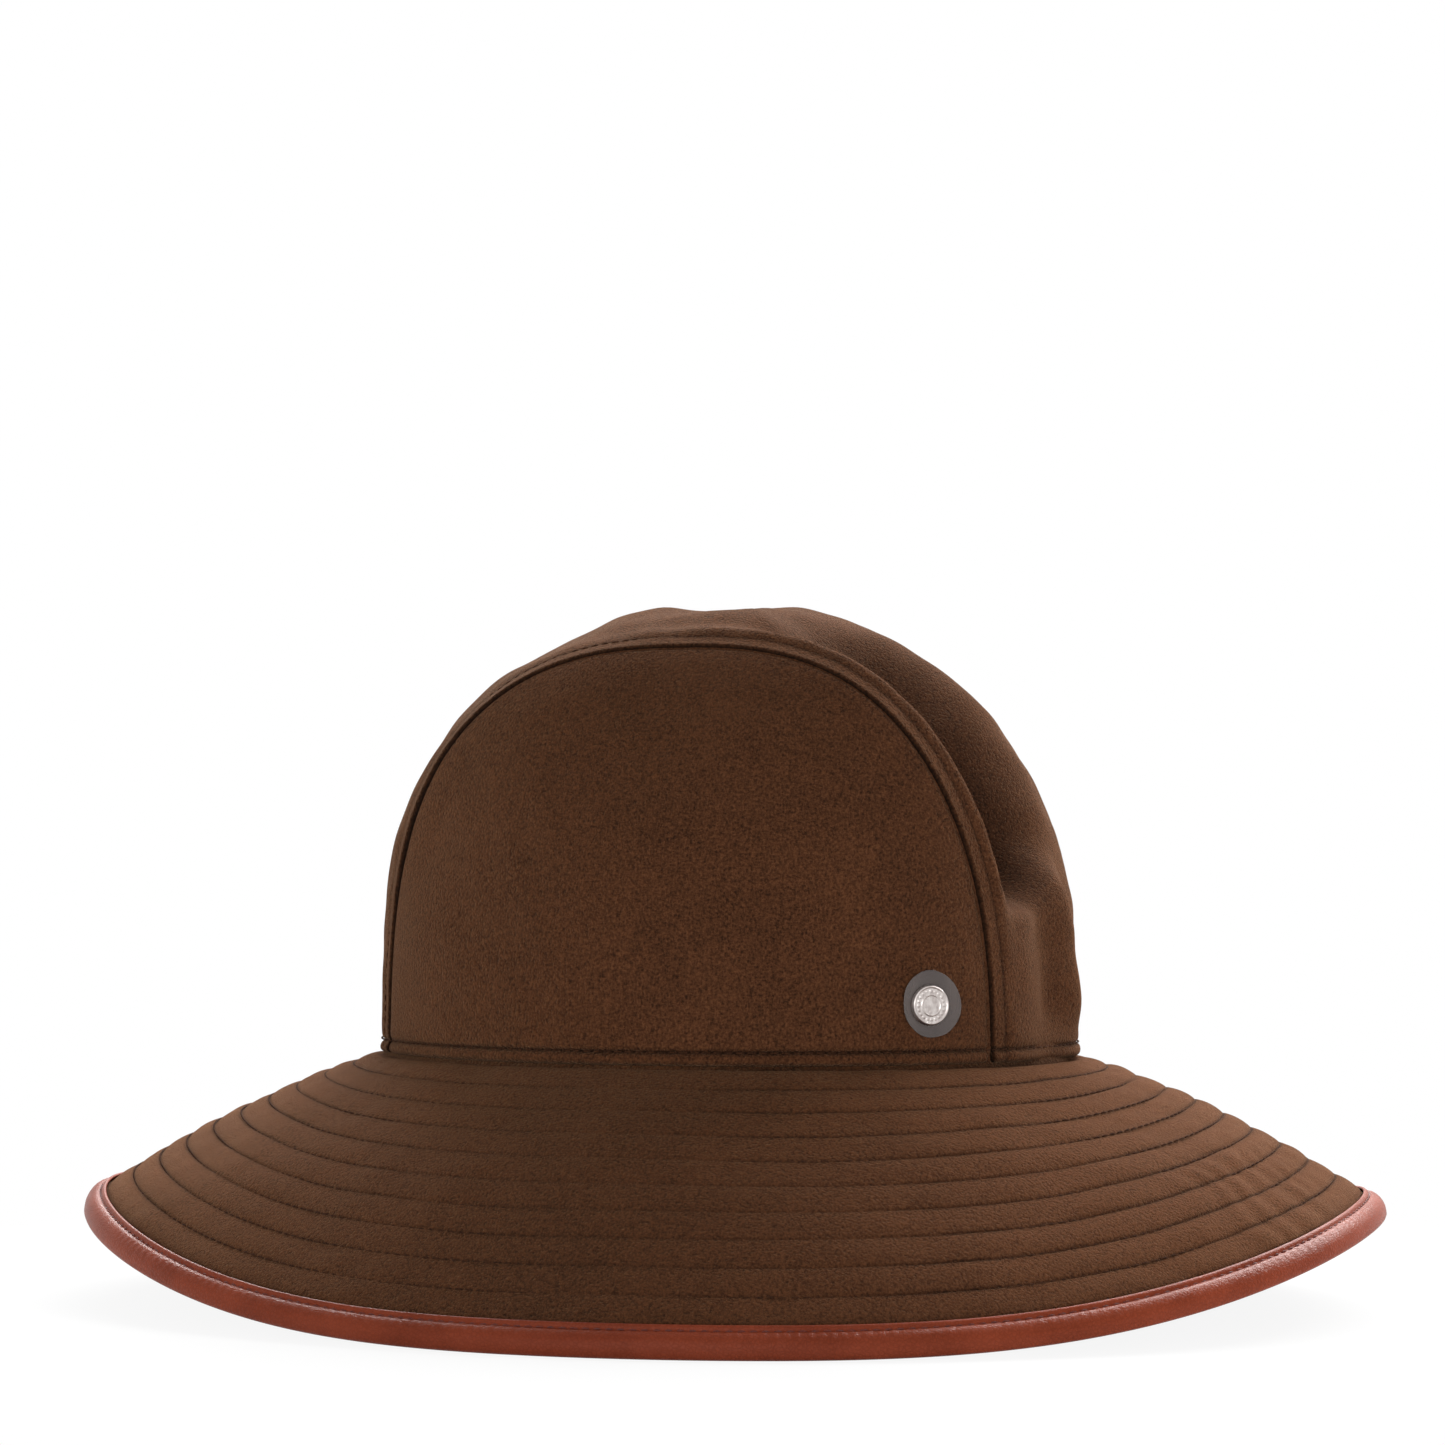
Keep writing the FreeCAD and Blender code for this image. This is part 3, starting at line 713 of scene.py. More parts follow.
def nap_group() -> bpy.types.NodeTree:
    """Brushed wool: mixed light and dark fibres, short combed streaks, clouding, and painted light.

    The colour runs from Deep to Pale by the sum of a fine mottle, streaks stretched along Z and
    along a slant, and soft clouds. The last input is painted light: above 0 it is painted shade
    that makes the colour deeper and then nearly black, and below 0 a painted highlight that makes
    it paler. The height is the streaks and the mottle.

    Returns:
        The group.
    """
    graph, given, target = new_group("brushed_nap", ("Deep", "Pale"), ("Clouding", "Crease"))
    vector = given["Vector"]
    mottle = graph.noise(vector, 1350, 3, 0.75)
    combed = graph.noise(graph.stretch(vector, (1600, 1600, 700), (0.2, 0.1, 0.3)), 1, 2, 0.6, 0.6)
    slanted = graph.noise(graph.stretch(vector, (700, 1700, 1500), (0.5, 0.7, 0.4)), 1, 2, 0.6, 0.6)
    clouds = graph.noise(vector, 38, 3, 0.6)
    share = graph.sum((mottle, 1.3), (combed, 0.8), (slanted, 0.7))
    share = graph.spread(share, 1.08, 1.72)
    clouded = graph.add("Math", {0: clouds, 1: 0.5}, operation="SUBTRACT").outputs[0]
    clouded = graph.add("Math", {0: clouded, 1: given["Clouding"], 2: share},
                        operation="MULTIPLY_ADD", use_clamp=True).outputs[0]
    # Painted light: a painted highlight lifts the share below 0, and painted shade deepens it above 0 and
    # then mixes in nearly black.
    painted_highlight = graph.add("Math", {0: given["Crease"], 1: -0.45, 2: clouded},
                       operation="MULTIPLY_ADD", use_clamp=True).outputs[0]
    colour = graph.mix(painted_highlight, given["Deep"], given["Pale"])
    colour = graph.mix(given["Crease"], colour, PAINTED_SHADE)
    height = graph.sum((mottle, 0.7), (combed, 0.5), (slanted, 0.5))
    graph.tree.links.new(colour, target.inputs["Color"])
    graph.tree.links.new(height, target.inputs["Height"])
    return graph.tree


def grain_group() -> bpy.types.NodeTree:
    """Smooth leather: small pebbled cells with fine creases between, and uneven dye.

    The height is a cell pattern with fine noise. The colour runs from Deep to Pale by broad noise,
    deeper in the creases.

    Returns:
        The group.
    """
    graph, given, target = new_group("leather_grain", ("Deep", "Pale"), ("Cells",))
    vector = given["Vector"]
    wander = graph.add("TexNoise", {"Vector": vector, "Scale": 260.0}).outputs["Color"]
    bent = graph.add("VectorMath", {0: wander, 1: (1.1 * MM,) * 3, 2: vector},
                     operation="MULTIPLY_ADD").outputs[0]
    cells = graph.add("TexVoronoi", {"Vector": bent, "Scale": given["Cells"]},
                      feature="DISTANCE_TO_EDGE").outputs["Distance"]
    creases = graph.spread(cells, 0.0, 0.22)
    fine = graph.noise(vector, 2600, 3)
    dye = graph.spread(graph.noise(vector, 55, 4, 0.6), 0.3, 0.7)
    share = graph.sum((dye, 0.65), (creases, 0.35))
    colour = graph.mix(share, given["Deep"], given["Pale"])
    height = graph.sum((creases, 0.75), (fine, 0.25))
    graph.tree.links.new(colour, target.inputs["Color"])
    graph.tree.links.new(height, target.inputs["Height"])
    return graph.tree


def weave_group() -> bpy.types.NodeTree:
    """Woven threads: ribs across the cloth and a finer thread along them, with slubs.

    The height is one sine wave along the texture's x axis and a finer one along its y axis. The
    colour runs from Deep to Pale by that height and by broad unevenness.

    Returns:
        The group.
    """
    graph, given, target = new_group("woven_ribs", ("Deep", "Pale"), ("Ribs", "Picks"))
    vector = given["Vector"]
    apart = graph.add("SeparateXYZ", {"Vector": vector})
    slub = graph.noise(vector, 160, 3)
    heights = []
    for axis, rate in (("X", "Ribs"), ("Y", "Picks")):
        threads = graph.add("Math", {0: apart.outputs[axis], 1: given[rate]}, operation="MULTIPLY")
        phase = graph.sum((threads.outputs[0], TAU), (slub, 2.2))
        wave = graph.add("Math", {0: phase}, operation="SINE").outputs[0]
        heights.append(graph.spread(wave, -1, 1))
    height = graph.sum((heights[0], 0.7), (heights[1], 0.3))
    share = graph.sum((height, 0.7), (graph.noise(vector, 30, 4), 0.4))
    colour = graph.mix(graph.spread(share, 0.1, 1.0), given["Deep"], given["Pale"])
    graph.tree.links.new(colour, target.inputs["Color"])
    graph.tree.links.new(height, target.inputs["Height"])
    return graph.tree


def strand_group() -> bpy.types.NodeTree:
    """Twisted thread or fine metal lay: short slanted streaks that turn the colour and the height.

    Returns:
        The group.
    """
    graph, given, target = new_group("fine_strands", ("Deep", "Pale"), ("Rate",))
    vector = given["Vector"]
    slant = graph.stretch(vector, (1.0, 1.0, 0.35), (0.6, 0.5, 0.4))
    streak = graph.add("TexNoise", {"Vector": slant, "Scale": given["Rate"], "Detail": 2.0}).outputs["Fac"]
    share = graph.spread(streak, 0.35, 0.65)
    graph.tree.links.new(graph.mix(share, given["Deep"], given["Pale"]), target.inputs["Color"])
    graph.tree.links.new(share, target.inputs["Height"])
    return graph.tree


class Pattern(Enum):
    """The shader groups that finishes are made with."""

    NAP = "brushed_nap"
    GRAIN = "leather_grain"
    WEAVE = "woven_ribs"
    STRANDS = "fine_strands"


class Finishes:
    """Builds each pattern group once and each material once."""

    makers = {Pattern.NAP: nap_group, Pattern.GRAIN: grain_group, Pattern.WEAVE: weave_group,
              Pattern.STRANDS: strand_group}

    def __init__(self) -> None:
        """Starts with nothing made."""
        self.groups: dict[Pattern, bpy.types.NodeTree] = {}
        self.materials: dict[str, bpy.types.Material] = {}

    def pattern(self, kind: Pattern) -> bpy.types.NodeTree:
        """The group of a pattern.

        Args:
            kind: the pattern.

        Returns:
            Its node group, made the first time.
        """
        if kind not in self.groups:
            self.groups[kind] = self.makers[kind]()
        return self.groups[kind]

    def material(self, finish: "Finish") -> bpy.types.Material:
        """The material of a finish.

        Args:
            finish: the finish.

        Returns:
            Its material, made the first time.
        """
        if finish.name not in self.materials:
            self.materials[finish.name] = finish.make(self)
        return self.materials[finish.name]


@dataclass(frozen=True)
class Finish:
    """A material made from one pattern group and plain shader values.

    `numbers` go to the pattern's number inputs, `shader` to the Principled shader's own sockets, and
    `depth` is the relief in metres. `rough` is the roughness on the high and the low places. The
    pattern lies on the piece's UV map if `on_uv` is set, and on its Object coordinates if not.
    """

    name: str
    pattern: Pattern
    deep: Colour
    pale: Colour
    numbers: tuple[tuple[str, float], ...]
    depth: float
    rough: tuple[float, float]
    shader: tuple[tuple[str, object], ...] = ()
    on_uv: bool = False

    def make(self, finishes: Finishes) -> bpy.types.Material:
        """The finish as a node material.

        Args:
            finishes: where the pattern groups are kept.

        Returns:
            The material.
        """
        material = bpy.data.materials.new(self.name)
        material.use_nodes = True
        graph = Graph(material.node_tree)
        place = graph.add("TexCoord").outputs["UV" if self.on_uv else "Object"]
        values = {"Vector": place, "Deep": self.deep, "Pale": self.pale, **dict(self.numbers)}
        # Felt reads its painted shade and painted highlight from a mesh attribute.
        if self.pattern is Pattern.NAP:
            values["Crease"] = graph.add("Attribute", attribute_name="crease").outputs["Fac"]
        pattern = graph.group(finishes.pattern(self.pattern), values)
        height = pattern.outputs["Height"]
        inputs = {"Base Color": pattern.outputs["Color"],
                  "Roughness": graph.spread(height, 0, 1, self.rough[1], self.rough[0]),
                  "Normal": graph.bump(height, self.depth), **dict(self.shader)}
        surface = graph.add("BsdfPrincipled", inputs)
        output = graph.add("OutputMaterial", {"Surface": surface.outputs[0]})
        output.is_active_output = True
        return material


SOFT = (("Sheen Weight", 0.34), ("Sheen Roughness", 0.22), ("Sheen Tint", (0.85, 0.5, 0.28, 1)),
        ("Specular IOR Level", 0.08))
FELT = Finish("brown_wool_felt", Pattern.NAP, paint(50, 30, 18), paint(110, 69, 44),
              (("Clouding", 0.4),), 1.0 * MM, (1.0, 0.9), SOFT)
SEWING = Finish("brown_sewing_thread", Pattern.STRANDS, paint(46, 28, 17), paint(80, 50, 32),
                (("Rate", 1800.0),), 0.05 * MM, (0.95, 0.85), (("Specular IOR Level", 0.1),))
LEATHER = Finish("cognac_leather", Pattern.GRAIN, paint(118, 49, 27), paint(147, 66, 41),
                 (("Cells", 950.0),), 0.07 * MM, (0.3, 0.42), (("Specular IOR Level", 0.1),))
LEATHER_SEWING = Finish("dark_red_thread", Pattern.STRANDS, paint(78, 24, 14), paint(112, 42, 26),
                        (("Rate", 1800.0),), 0.05 * MM, (0.75, 0.55))
LINING = Finish("brown_lining", Pattern.WEAVE, paint(38, 24, 16), paint(60, 39, 27),
                (("Ribs", 1700.0), ("Picks", 1500.0)), 0.06 * MM, (0.5, 0.62),
                (("Sheen Weight", 0.15), ("Sheen Roughness", 0.4)))
RIBBON = Finish("ribbed_ribbon", Pattern.WEAVE, paint(24, 14, 10), paint(52, 33, 24),
                (("Ribs", 900.0), ("Picks", 260.0)), 0.25 * MM, (0.62, 0.8),
                (("Sheen Weight", 0.15),), on_uv=True)
TAG_RIBBON = Finish("blank_tag_ribbon", Pattern.WEAVE, paint(196, 190, 178), paint(226, 221, 210),
                    (("Ribs", 1500.0), ("Picks", 1900.0)), 0.06 * MM, (0.5, 0.65))
COTTON = Finish("cotton_cord", Pattern.STRANDS, paint(170, 162, 148), paint(208, 201, 188),
                (("Rate", 500.0),), 0.2 * MM, (0.85, 0.95))
CANVAS = Finish("stiffener_cloth", Pattern.WEAVE, paint(184, 179, 166), paint(216, 211, 200),
                (("Ribs", 900.0), ("Picks", 900.0)), 0.1 * MM, (0.8, 0.95))
NICKEL = Finish("satin_nickel", Pattern.STRANDS, paint(186, 176, 172), paint(216, 208, 204),
                (("Rate", 900.0),), 0.01 * MM, (0.26, 0.36), (("Metallic", 1.0),))
DULL_NICKEL = Finish("plain_nickel", Pattern.STRANDS, paint(150, 146, 142), paint(184, 180, 176),
                     (("Rate", 900.0),), 0.01 * MM, (0.4, 0.5), (("Metallic", 1.0),))
FILM = Finish("clear_grey_film", Pattern.STRANDS, paint(90, 80, 77), paint(104, 93, 89),
              (("Rate", 120.0),), 0.01 * MM, (0.16, 0.24),
              (("Alpha", 0.78), ("Specular IOR Level", 0.5)))


class Wardrobe:
    """Gives pieces their finish and their body, and tells the log."""

    def __init__(self) -> None:
        """Starts with no materials made."""
        self.finishes = Finishes()

    def dress(self, piece: bpy.types.Object, finish: Finish, slot: str, body: Body = Body.HAT,
              stands_for: tuple[str, ...] = ()) -> bpy.types.Object:
        """A finished piece: its material and body, with the CAD nodes it stands for hidden.

        Args:
            piece: the object.
            finish: its finish.
            slot: the record's slot; not used.
            body: the CAD body it rides on.
            stands_for: CAD nodes it replaces.

        Returns:
            The piece.
        """
        piece.data.materials.clear()
        piece.data.materials.append(self.finishes.material(finish))
        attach(piece, body.value)
        if stands_for:
            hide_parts(*stands_for)
        log.info("%s: %d faces, %s", piece.name, len(piece.data.polygons), finish.name)
        return piece

    def paint_node(self, node: bpy.types.Object, finish: Finish) -> None:
        """Gives a CAD node a finish of its own.

        Args:
            node: the CAD node's object.
            finish: its finish.
        """
        node.data.materials.clear()
        node.data.materials.append(self.finishes.material(finish))
        log.info("%s: CAD node, %s", node.name, finish.name)


# ---------------------------------------------------------------- crown


# Distances of the closest rows and columns from the crown's foot and from its seams.
FOOT_ROWS = tuple(v * MM for v in (0, 0.4, 0.8, 1.3, 1.9, 2.6, 3.1, 3.5,
                                   3.8, 4.05, 4.3, 4.6, 5.1, 5.9, 7.0, 8.5))
EDGE_STEPS = tuple(v * MM for v in (0, 0.3, 0.6, 1.0, 1.5, 2.1, 2.8, 3.6,
                                    4.4, 5.0, 5.6, 6.4, 7.4, 8.5, 10, 12))


@dataclass(frozen=True)
class PanelGrid:
    """Rows and columns over a D-shaped side panel.

    Low rows are level, high rows follow the arch, and the columns lean with the two ends. A place
    is (share of the half length at its row, row height at the ends plus the arch's extra height
    eased in), so the rows near the foot and near the arch run beside their edges.
    """

    inset: float
    side: Side
    shrink: float = 0.3 * MM
    corner: float = 0.78
    pitch: float = 1.8 * MM
    foot: float = 0.0

    def flat(self) -> tuple[np.ndarray, np.ndarray, np.ndarray]:
        """Lays the grid out on the wall's own plane.

        Returns:
            X, height over the foot and distance to the arch of every corner.
        """
        half_length = CROWN.panel_length - self.inset - self.shrink
        top = CROWN.panel_height - self.inset - self.shrink
        power = CROWN.panel_squareness
        shoulder = top * (1 - self.corner ** power) ** (1 / power)
        near_arch = shoulder - np.array(EDGE_STEPS)[::-1]
        middle = np.linspace(FOOT_ROWS[-1], near_arch[0],
                             round((near_arch[0] - FOOT_ROWS[-1]) / self.pitch) + 1)[1:-1]
        level = np.concatenate([FOOT_ROWS, middle, near_arch])[:, None]
        half = half_length * (1 - (level / top) ** power) ** (1 / power)
        across = graded(2 * half_length, EDGE_STEPS, self.pitch) / half_length - 1
        arch = top * (1 - np.abs(self.corner * across) ** power) ** (1 / power)
        x = across * half
        up = level + ease(level / shoulder) * (arch - shoulder)
        angle = np.arctan2(up, np.abs(x))
        to_arch = CrownShape.outline(angle, half_length, top, power) - np.hypot(x, up)
        return x, self.foot + up * (1 - self.foot / top), np.clip(to_arch, 0, None)

    def wall(self, x: np.ndarray, up: np.ndarray, deeper: float = 0.0) -> np.ndarray:
        """Places on the wall, or behind it by some depth."""
        y = self.side.value * CROWN.wall(x, up, self.inset + deeper)
        return np.stack([x, y, CROWN_FOOT + up], -1)


@dataclass(frozen=True)
class StripGrid:
    """Rows and columns over the strip that arches from one end of the hat to the other.

    Rows are numbered by the distance along the crest. Up to `level_until` they are level, and over
    the next `turning` they come to stand square to the arch. Columns near the seams keep their
    distance from them, and those between share out the rest.
    """

    inset: float = 0.0
    pitch: float = 1.7 * MM
    foot: float = 0.0
    usual_middle: float = 70 * MM
    level_until: float = 9 * MM
    turning: float = 34 * MM

    def across(self, angle: np.ndarray) -> tuple[np.ndarray, np.ndarray]:
        """Places of the columns across the strip.

        Args:
            angle: angle of each row along the arch.

        Returns:
            Every corner's distance from the near seam and from the far seam.
        """
        _, radius, half = CROWN.strip_arc(angle, self.inset)
        width = 2 * radius * half
        edges = np.array(EDGE_STEPS)
        share = np.linspace(0, 1, round(self.usual_middle / self.pitch) + 1)[1:-1]
        middle = edges[-1] + share * (width[..., :1] - 2 * edges[-1])
        shape = width[..., :1].shape[:-1]
        near = np.broadcast_to(edges, (*shape, len(edges)))
        distance = np.concatenate([near, middle, width[..., :1] - near[..., ::-1]], -1)
        return distance, width[..., :1] - distance

    def point(self, angle: np.ndarray, distance: np.ndarray, deeper: float = 0.0) -> np.ndarray:
        """Places on the strip's arc: turned about the arc's centre by distance over radius.

        Args:
            angle: angle along the arch.
            distance: distance from the near seam.
            deeper: depth inside the arc.

        Returns:
            The places.
        """
        centre, radius, half = CROWN.strip_arc(angle, self.inset)
        turned = distance / radius - half
        radial = centre + (radius - deeper) * np.cos(turned)
        return np.stack([radial * np.cos(angle), (radius - deeper) * np.sin(turned),
                         CROWN_FOOT + radial * np.sin(angle)], -1)

    def lay(self) -> tuple[np.ndarray, np.ndarray, np.ndarray]:
        """Lays the grid out over the arch.

        Returns:
            Angle, distance from the near seam and distance from the far seam of every corner.
        """
        fine = np.linspace(0, math.pi, 2001)
        crest = CrownShape.outline(fine, OVAL.half_length, CROWN.height, CROWN.squareness)
        travelled = travelled_along(np.stack([crest * np.cos(fine), crest * np.sin(fine)], -1))
        total = travelled[-1]
        middle = np.linspace(FOOT_ROWS[-1], total - FOOT_ROWS[-1],
                             round((total - 2 * FOOT_ROWS[-1]) / self.pitch))[1:-1]
        row = np.concatenate([FOOT_ROWS, middle, total - np.array(FOOT_ROWS)[::-1]])
        square = np.interp(row, travelled, fine)[:, None]
        low = np.minimum(row, total - row)[:, None]
        distance, from_far = self.across(square)
        centre, radius, half = CROWN.strip_arc(square * 0, self.inset)
        at_foot, _ = self.across(square * 0)
        radial = centre + radius * np.cos(at_foot / radius - half)
        level = np.arcsin(np.clip(np.maximum(low, self.foot) / radial, 0, 1))
        level = np.where(row[:, None] > total / 2, math.pi - level, level)
        share = ease((low - self.level_until) / self.turning)
        return level * (1 - share) + square * share, distance, from_far


def seam_painted_shade(edge: np.ndarray, up: np.ndarray) -> np.ndarray:
    """Painted shade in the seams at the felt's edges, at its foot and along the welt's stitches."""
    welt = 0.75 * hill(up, WELT_STITCH, 0.55 * MM)
    return np.clip(0.95 * hill(edge, 0, 0.75 * MM) + 0.95 * hill(up, 0, 0.8 * MM) + welt, 0, 1)


def turned_edges(edge: np.ndarray, up: np.ndarray) -> np.ndarray:
    """How far the felt dips where it turns into its seams and into the seam at the foot."""
    return turned_in(edge, 1.0 * MM, 2.2 * MM) + turned_in(up, 1.3 * MM, 1.4 * MM)


def welt_groove(up: np.ndarray) -> np.ndarray:
    """Depth of the groove that the welt's stitches pull: a narrow hill in a broad one."""
    return (0.6 * hill(up, WELT_STITCH, 0.6 * MM) + 0.3 * hill(up, WELT_STITCH, 1.5 * MM)) * MM


@dataclass
class FeltPanel:
    """A side panel of felt: edges turned into the seams, a welt at the foot, gentle unevenness.

    The unevenness grows over `calm` from every edge, and fades as far round the stud.
    """

    side: Side
    wardrobe: Wardrobe
    calm: float = 14 * MM

    def lift(self, base: np.ndarray, up: np.ndarray, to_arch: np.ndarray) -> np.ndarray:
        """How far the felt stands over its plain wall: the dips, the welt and the waves added up.

        Args:
            base: places on the wall.
            up: their height over the crown's foot.
            to_arch: their distance from the arched seam.

        Returns:
            The distance outwards.
        """
        inner = ease(np.minimum(to_arch, up) / self.calm)
        if self.side is Side.NEAR:
            to_stud = np.hypot(base[..., 0] - Stud.along, up - Stud.up)
            inner *= 1 - hill(to_stud, 0, self.calm)
        rise = turned_edges(to_arch, up)
        rise -= 0.3 * MM * hill(to_arch, 0, 3 * MM)
        rise += 0.5 * MM * hill(up, 2.1 * MM, 1.4 * MM) + 0.15 * MM * hill(up, 6.5 * MM, 2.2 * MM)
        rise -= welt_groove(up)
        rise += 0.55 * MM * inner * waves(base, 60 * MM, 11)
        return rise + 0.12 * MM * inner * waves(base, 17 * MM, 12)

    def build(self) -> None:
        """Makes the panel."""
        grid = PanelGrid(0.0, self.side)
        x, up, to_arch = grid.flat()
        base = grid.wall(x, up)
        front = base + normals(base, HEART) * self.lift(base, up, to_arch)[..., None]
        back = grid.wall(x, up, CLOTH)
        word = self.side.name.lower()
        piece = sheet_piece(f"felt_panel_{word}", front, back)
        # Painted shade in the panel's seams, at its foot and along the welt.
        mark_painted_light(piece, seam_painted_shade(to_arch, up))
        self.wardrobe.dress(piece, FELT, "wool_cloth", stands_for=(f"side_panel_{word}",))


@dataclass
class FeltStrip:
    """The strip over the crown: stiff ridges beside both seams and a slack hollow at one end.

    The ridge is where the seam allowances under the felt stop. Past it the felt falls into a hollow
    that is deepest beside the near ridge and climbs to a full, bulging far edge. Under the hollow the
    felt hangs in upright folds. The hollow runs along the arch between two angles in degrees, and
    each metre that a layer under it is wider adds `widening` degrees. The last two fields are
    painted light: how much painted shade darkens the hollow, and how much painted highlight lightens
    the fold.
    """

    wardrobe: Wardrobe
    ridge: float = 8.5 * MM
    hollow_depth: float = 28 * MM
    hollow_start: float = 22.0
    hollow_end: float = 85.0
    widening: float = 600.0
    hollow_painted_shade: float = 0.62
    fold_painted_highlight: float = 0.9

    def hollow(self, angle: np.ndarray, distance: np.ndarray, from_far: np.ndarray,
               wider: float = 0.0) -> np.ndarray:
        """Share of the hollow's depth: along the arch it fades in and out, across it falls fast.

        Args:
            angle: angle along the arch.
            distance: distance from the near seam.
            from_far: distance from the far seam.
            wider: how much the hollow grows on every side, for a layer underneath.

        Returns:
            Share from nought to one.
        """
        degrees = np.degrees(angle)
        more = self.widening * wider
        start = self.hollow_start + 7 * ease((distance - 25 * MM) / (45 * MM)) - more
        along = ease((degrees - start) / 11) * ease((self.hollow_end + more - degrees) / 24)
        width = distance + from_far
        climb = ease((from_far - 0.3 * width + wider) / (0.7 * width - 26 * MM))
        return along * ease((distance - self.ridge + wider) / (11 * MM)) * climb

    def fullness(self, angle: np.ndarray, distance: np.ndarray, from_far: np.ndarray) -> np.ndarray:
        """Height of the bulges along the far edge and at the other end, and of the upright folds.

        Each is a hill across the strip, times hills and eases along the arch.

        Args:
            angle: angle along the arch.
            distance: distance from the near seam.
            from_far: distance from the far seam.

        Returns:
            The height.
        """
        degrees = np.degrees(angle)
        bulge = 2.6 * ease((degrees - 12) / 14) * ease((104 - degrees) / 12) - 2.4 * hill(degrees, 57, 10)
        bulge += 3.8 * hill(degrees, 82, 11)
        rise = bulge * hill(from_far, 16 * MM, 15 * MM)
        rise += 3.2 * hill(degrees, 141, 15) * hill(distance, 22 * MM, 17 * MM)
        low = ease((degrees - 2) / 8) * ease((38 - degrees) / 18)
        fold = 2.1 * hill(distance, 45 * MM, 5 * MM) - 2.8 * hill(distance, 31 * MM, 7 * MM)
        return (rise + low * (fold - 1.2 * hill(distance, 60 * MM, 5 * MM))) * MM

    def lift(self, base: np.ndarray, angle: np.ndarray, distance: np.ndarray,
             from_far: np.ndarray) -> np.ndarray:
        """How far the felt stands over the plain arc: the dips, ridges, hollow, folds and waves.

        Args:
            base: places on the arc.
            angle: angle along the arch.
            distance: distance from the near seam.
            from_far: distance from the far seam.

        Returns:
            The distance outwards.
        """
        degrees = np.degrees(angle)
        up = base[..., 2] - CROWN_FOOT
        edge = np.minimum(distance, from_far)
        slack = ease((degrees - 20) / 12) * ease((98 - degrees) / 22)
        rise = turned_edges(edge, up)
        rise -= 0.14 * MM * hill(edge, STRIP_STITCH, 0.5 * MM)
        rise += (0.45 + 1.3 * slack) * MM * hill(edge, self.ridge, 3 * MM)
        rise -= self.hollow_depth * self.hollow(angle, distance, from_far)
        rise += self.fullness(angle, distance, from_far)
        rise += 0.5 * MM * hill(up, 2.1 * MM, 1.4 * MM)
        rise -= welt_groove(up)
        loose = ease((edge - 9 * MM) / (12 * MM))
        rise += 0.9 * MM * loose * waves(base, 34 * MM, 21, (1, 1, 2.2))
        return rise + 0.18 * MM * ease(edge / (8 * MM)) * waves(base, 13 * MM, 22)

    def build(self) -> None:
        """Makes the strip."""
        grid = StripGrid()
        angle, distance, from_far = grid.lay()
        base = grid.point(angle, distance)
        rise = self.lift(base, angle, distance, from_far)
        out = normals(base, HEART)
        front = base + out * rise[..., None]
        sunk = np.minimum(rise, 0)[..., None]
        back = grid.point(angle, distance, CLOTH) + out * sunk
        piece = sheet_piece("felt_strip", front, back)
        edge = np.minimum(distance, from_far)
        # Painted shade along the strip's stitch lines.
        stitch_line_shade = 0.4 * hill(edge, STRIP_STITCH, 0.5 * MM)
        # Painted shade that darkens the hollow.
        hollow_shade = self.hollow_painted_shade * self.hollow(angle, distance, from_far)
        low = ease((np.degrees(angle) - 4) / 8) * ease((30 - np.degrees(angle)) / 12)
        # Painted highlight on the fold under the hollow.
        painted_highlight = self.fold_painted_highlight * low * hill(distance, 48 * MM, 4 * MM)
        # All the strip's painted shade, less its painted highlight.
        painted_shade_and_highlight = seam_painted_shade(edge, base[..., 2] - CROWN_FOOT) + stitch_line_shade + hollow_shade - painted_highlight
        mark_painted_light(piece, np.clip(painted_shade_and_highlight, -1, 1))
        self.wardrobe.dress(piece, FELT, "wool_cloth", stands_for=("crown_strip",))


@dataclass
class CrownStitches:
    """Lockstitches beside the strip's seams and round the foot of the crown.

    The strip's lines start and stop `open_end` radians short of the foot.
    """

    wardrobe: Wardrobe
    run: StitchRun = StitchRun()
    hem_places: int = 1200
    strip_places: int = 900
    hem_out: float = 0.12 * MM
    strip_out: float = 0.1 * MM
    open_end: float = 0.055

    def build(self) -> None:
        """Makes the three stitch lines."""
        around = OVAL.even_turns(self.hem_places, 0)
        line = OVAL.sweep(around, np.full_like(around, self.hem_out),
                          np.full_like(around, CROWN_FOOT + WELT_STITCH))
        x, y = OVAL.outward(around)
        up = np.stack([x, y, np.zeros_like(x)], -1)
        piece = self.run.lay("hem_stitches", line, up)
        self.wardrobe.dress(piece, SEWING, "thread", stands_for=("hem_stitch",))
        grid = StripGrid()
        angle = np.linspace(self.open_end, math.pi - self.open_end, self.strip_places)[:, None]
        width = grid.across(angle)[1][:, :1]
        for side in Side:
            distance = np.full_like(angle, STRIP_STITCH) if side is Side.NEAR else width - STRIP_STITCH
            line = grid.point(angle, distance)[:, 0]
            up = line - grid.point(angle, distance, 5 * MM)[:, 0]
            up /= np.linalg.norm(up, axis=1, keepdims=True)
            word = side.name.lower()
            piece = self.run.lay(f"strip_stitches_{word}", line + up * self.strip_out, up, closed=False)
            self.wardrobe.dress(piece, SEWING, "thread", stands_for=(f"strip_stitch_{word}",))


# ---------------------------------------------------------------- brim


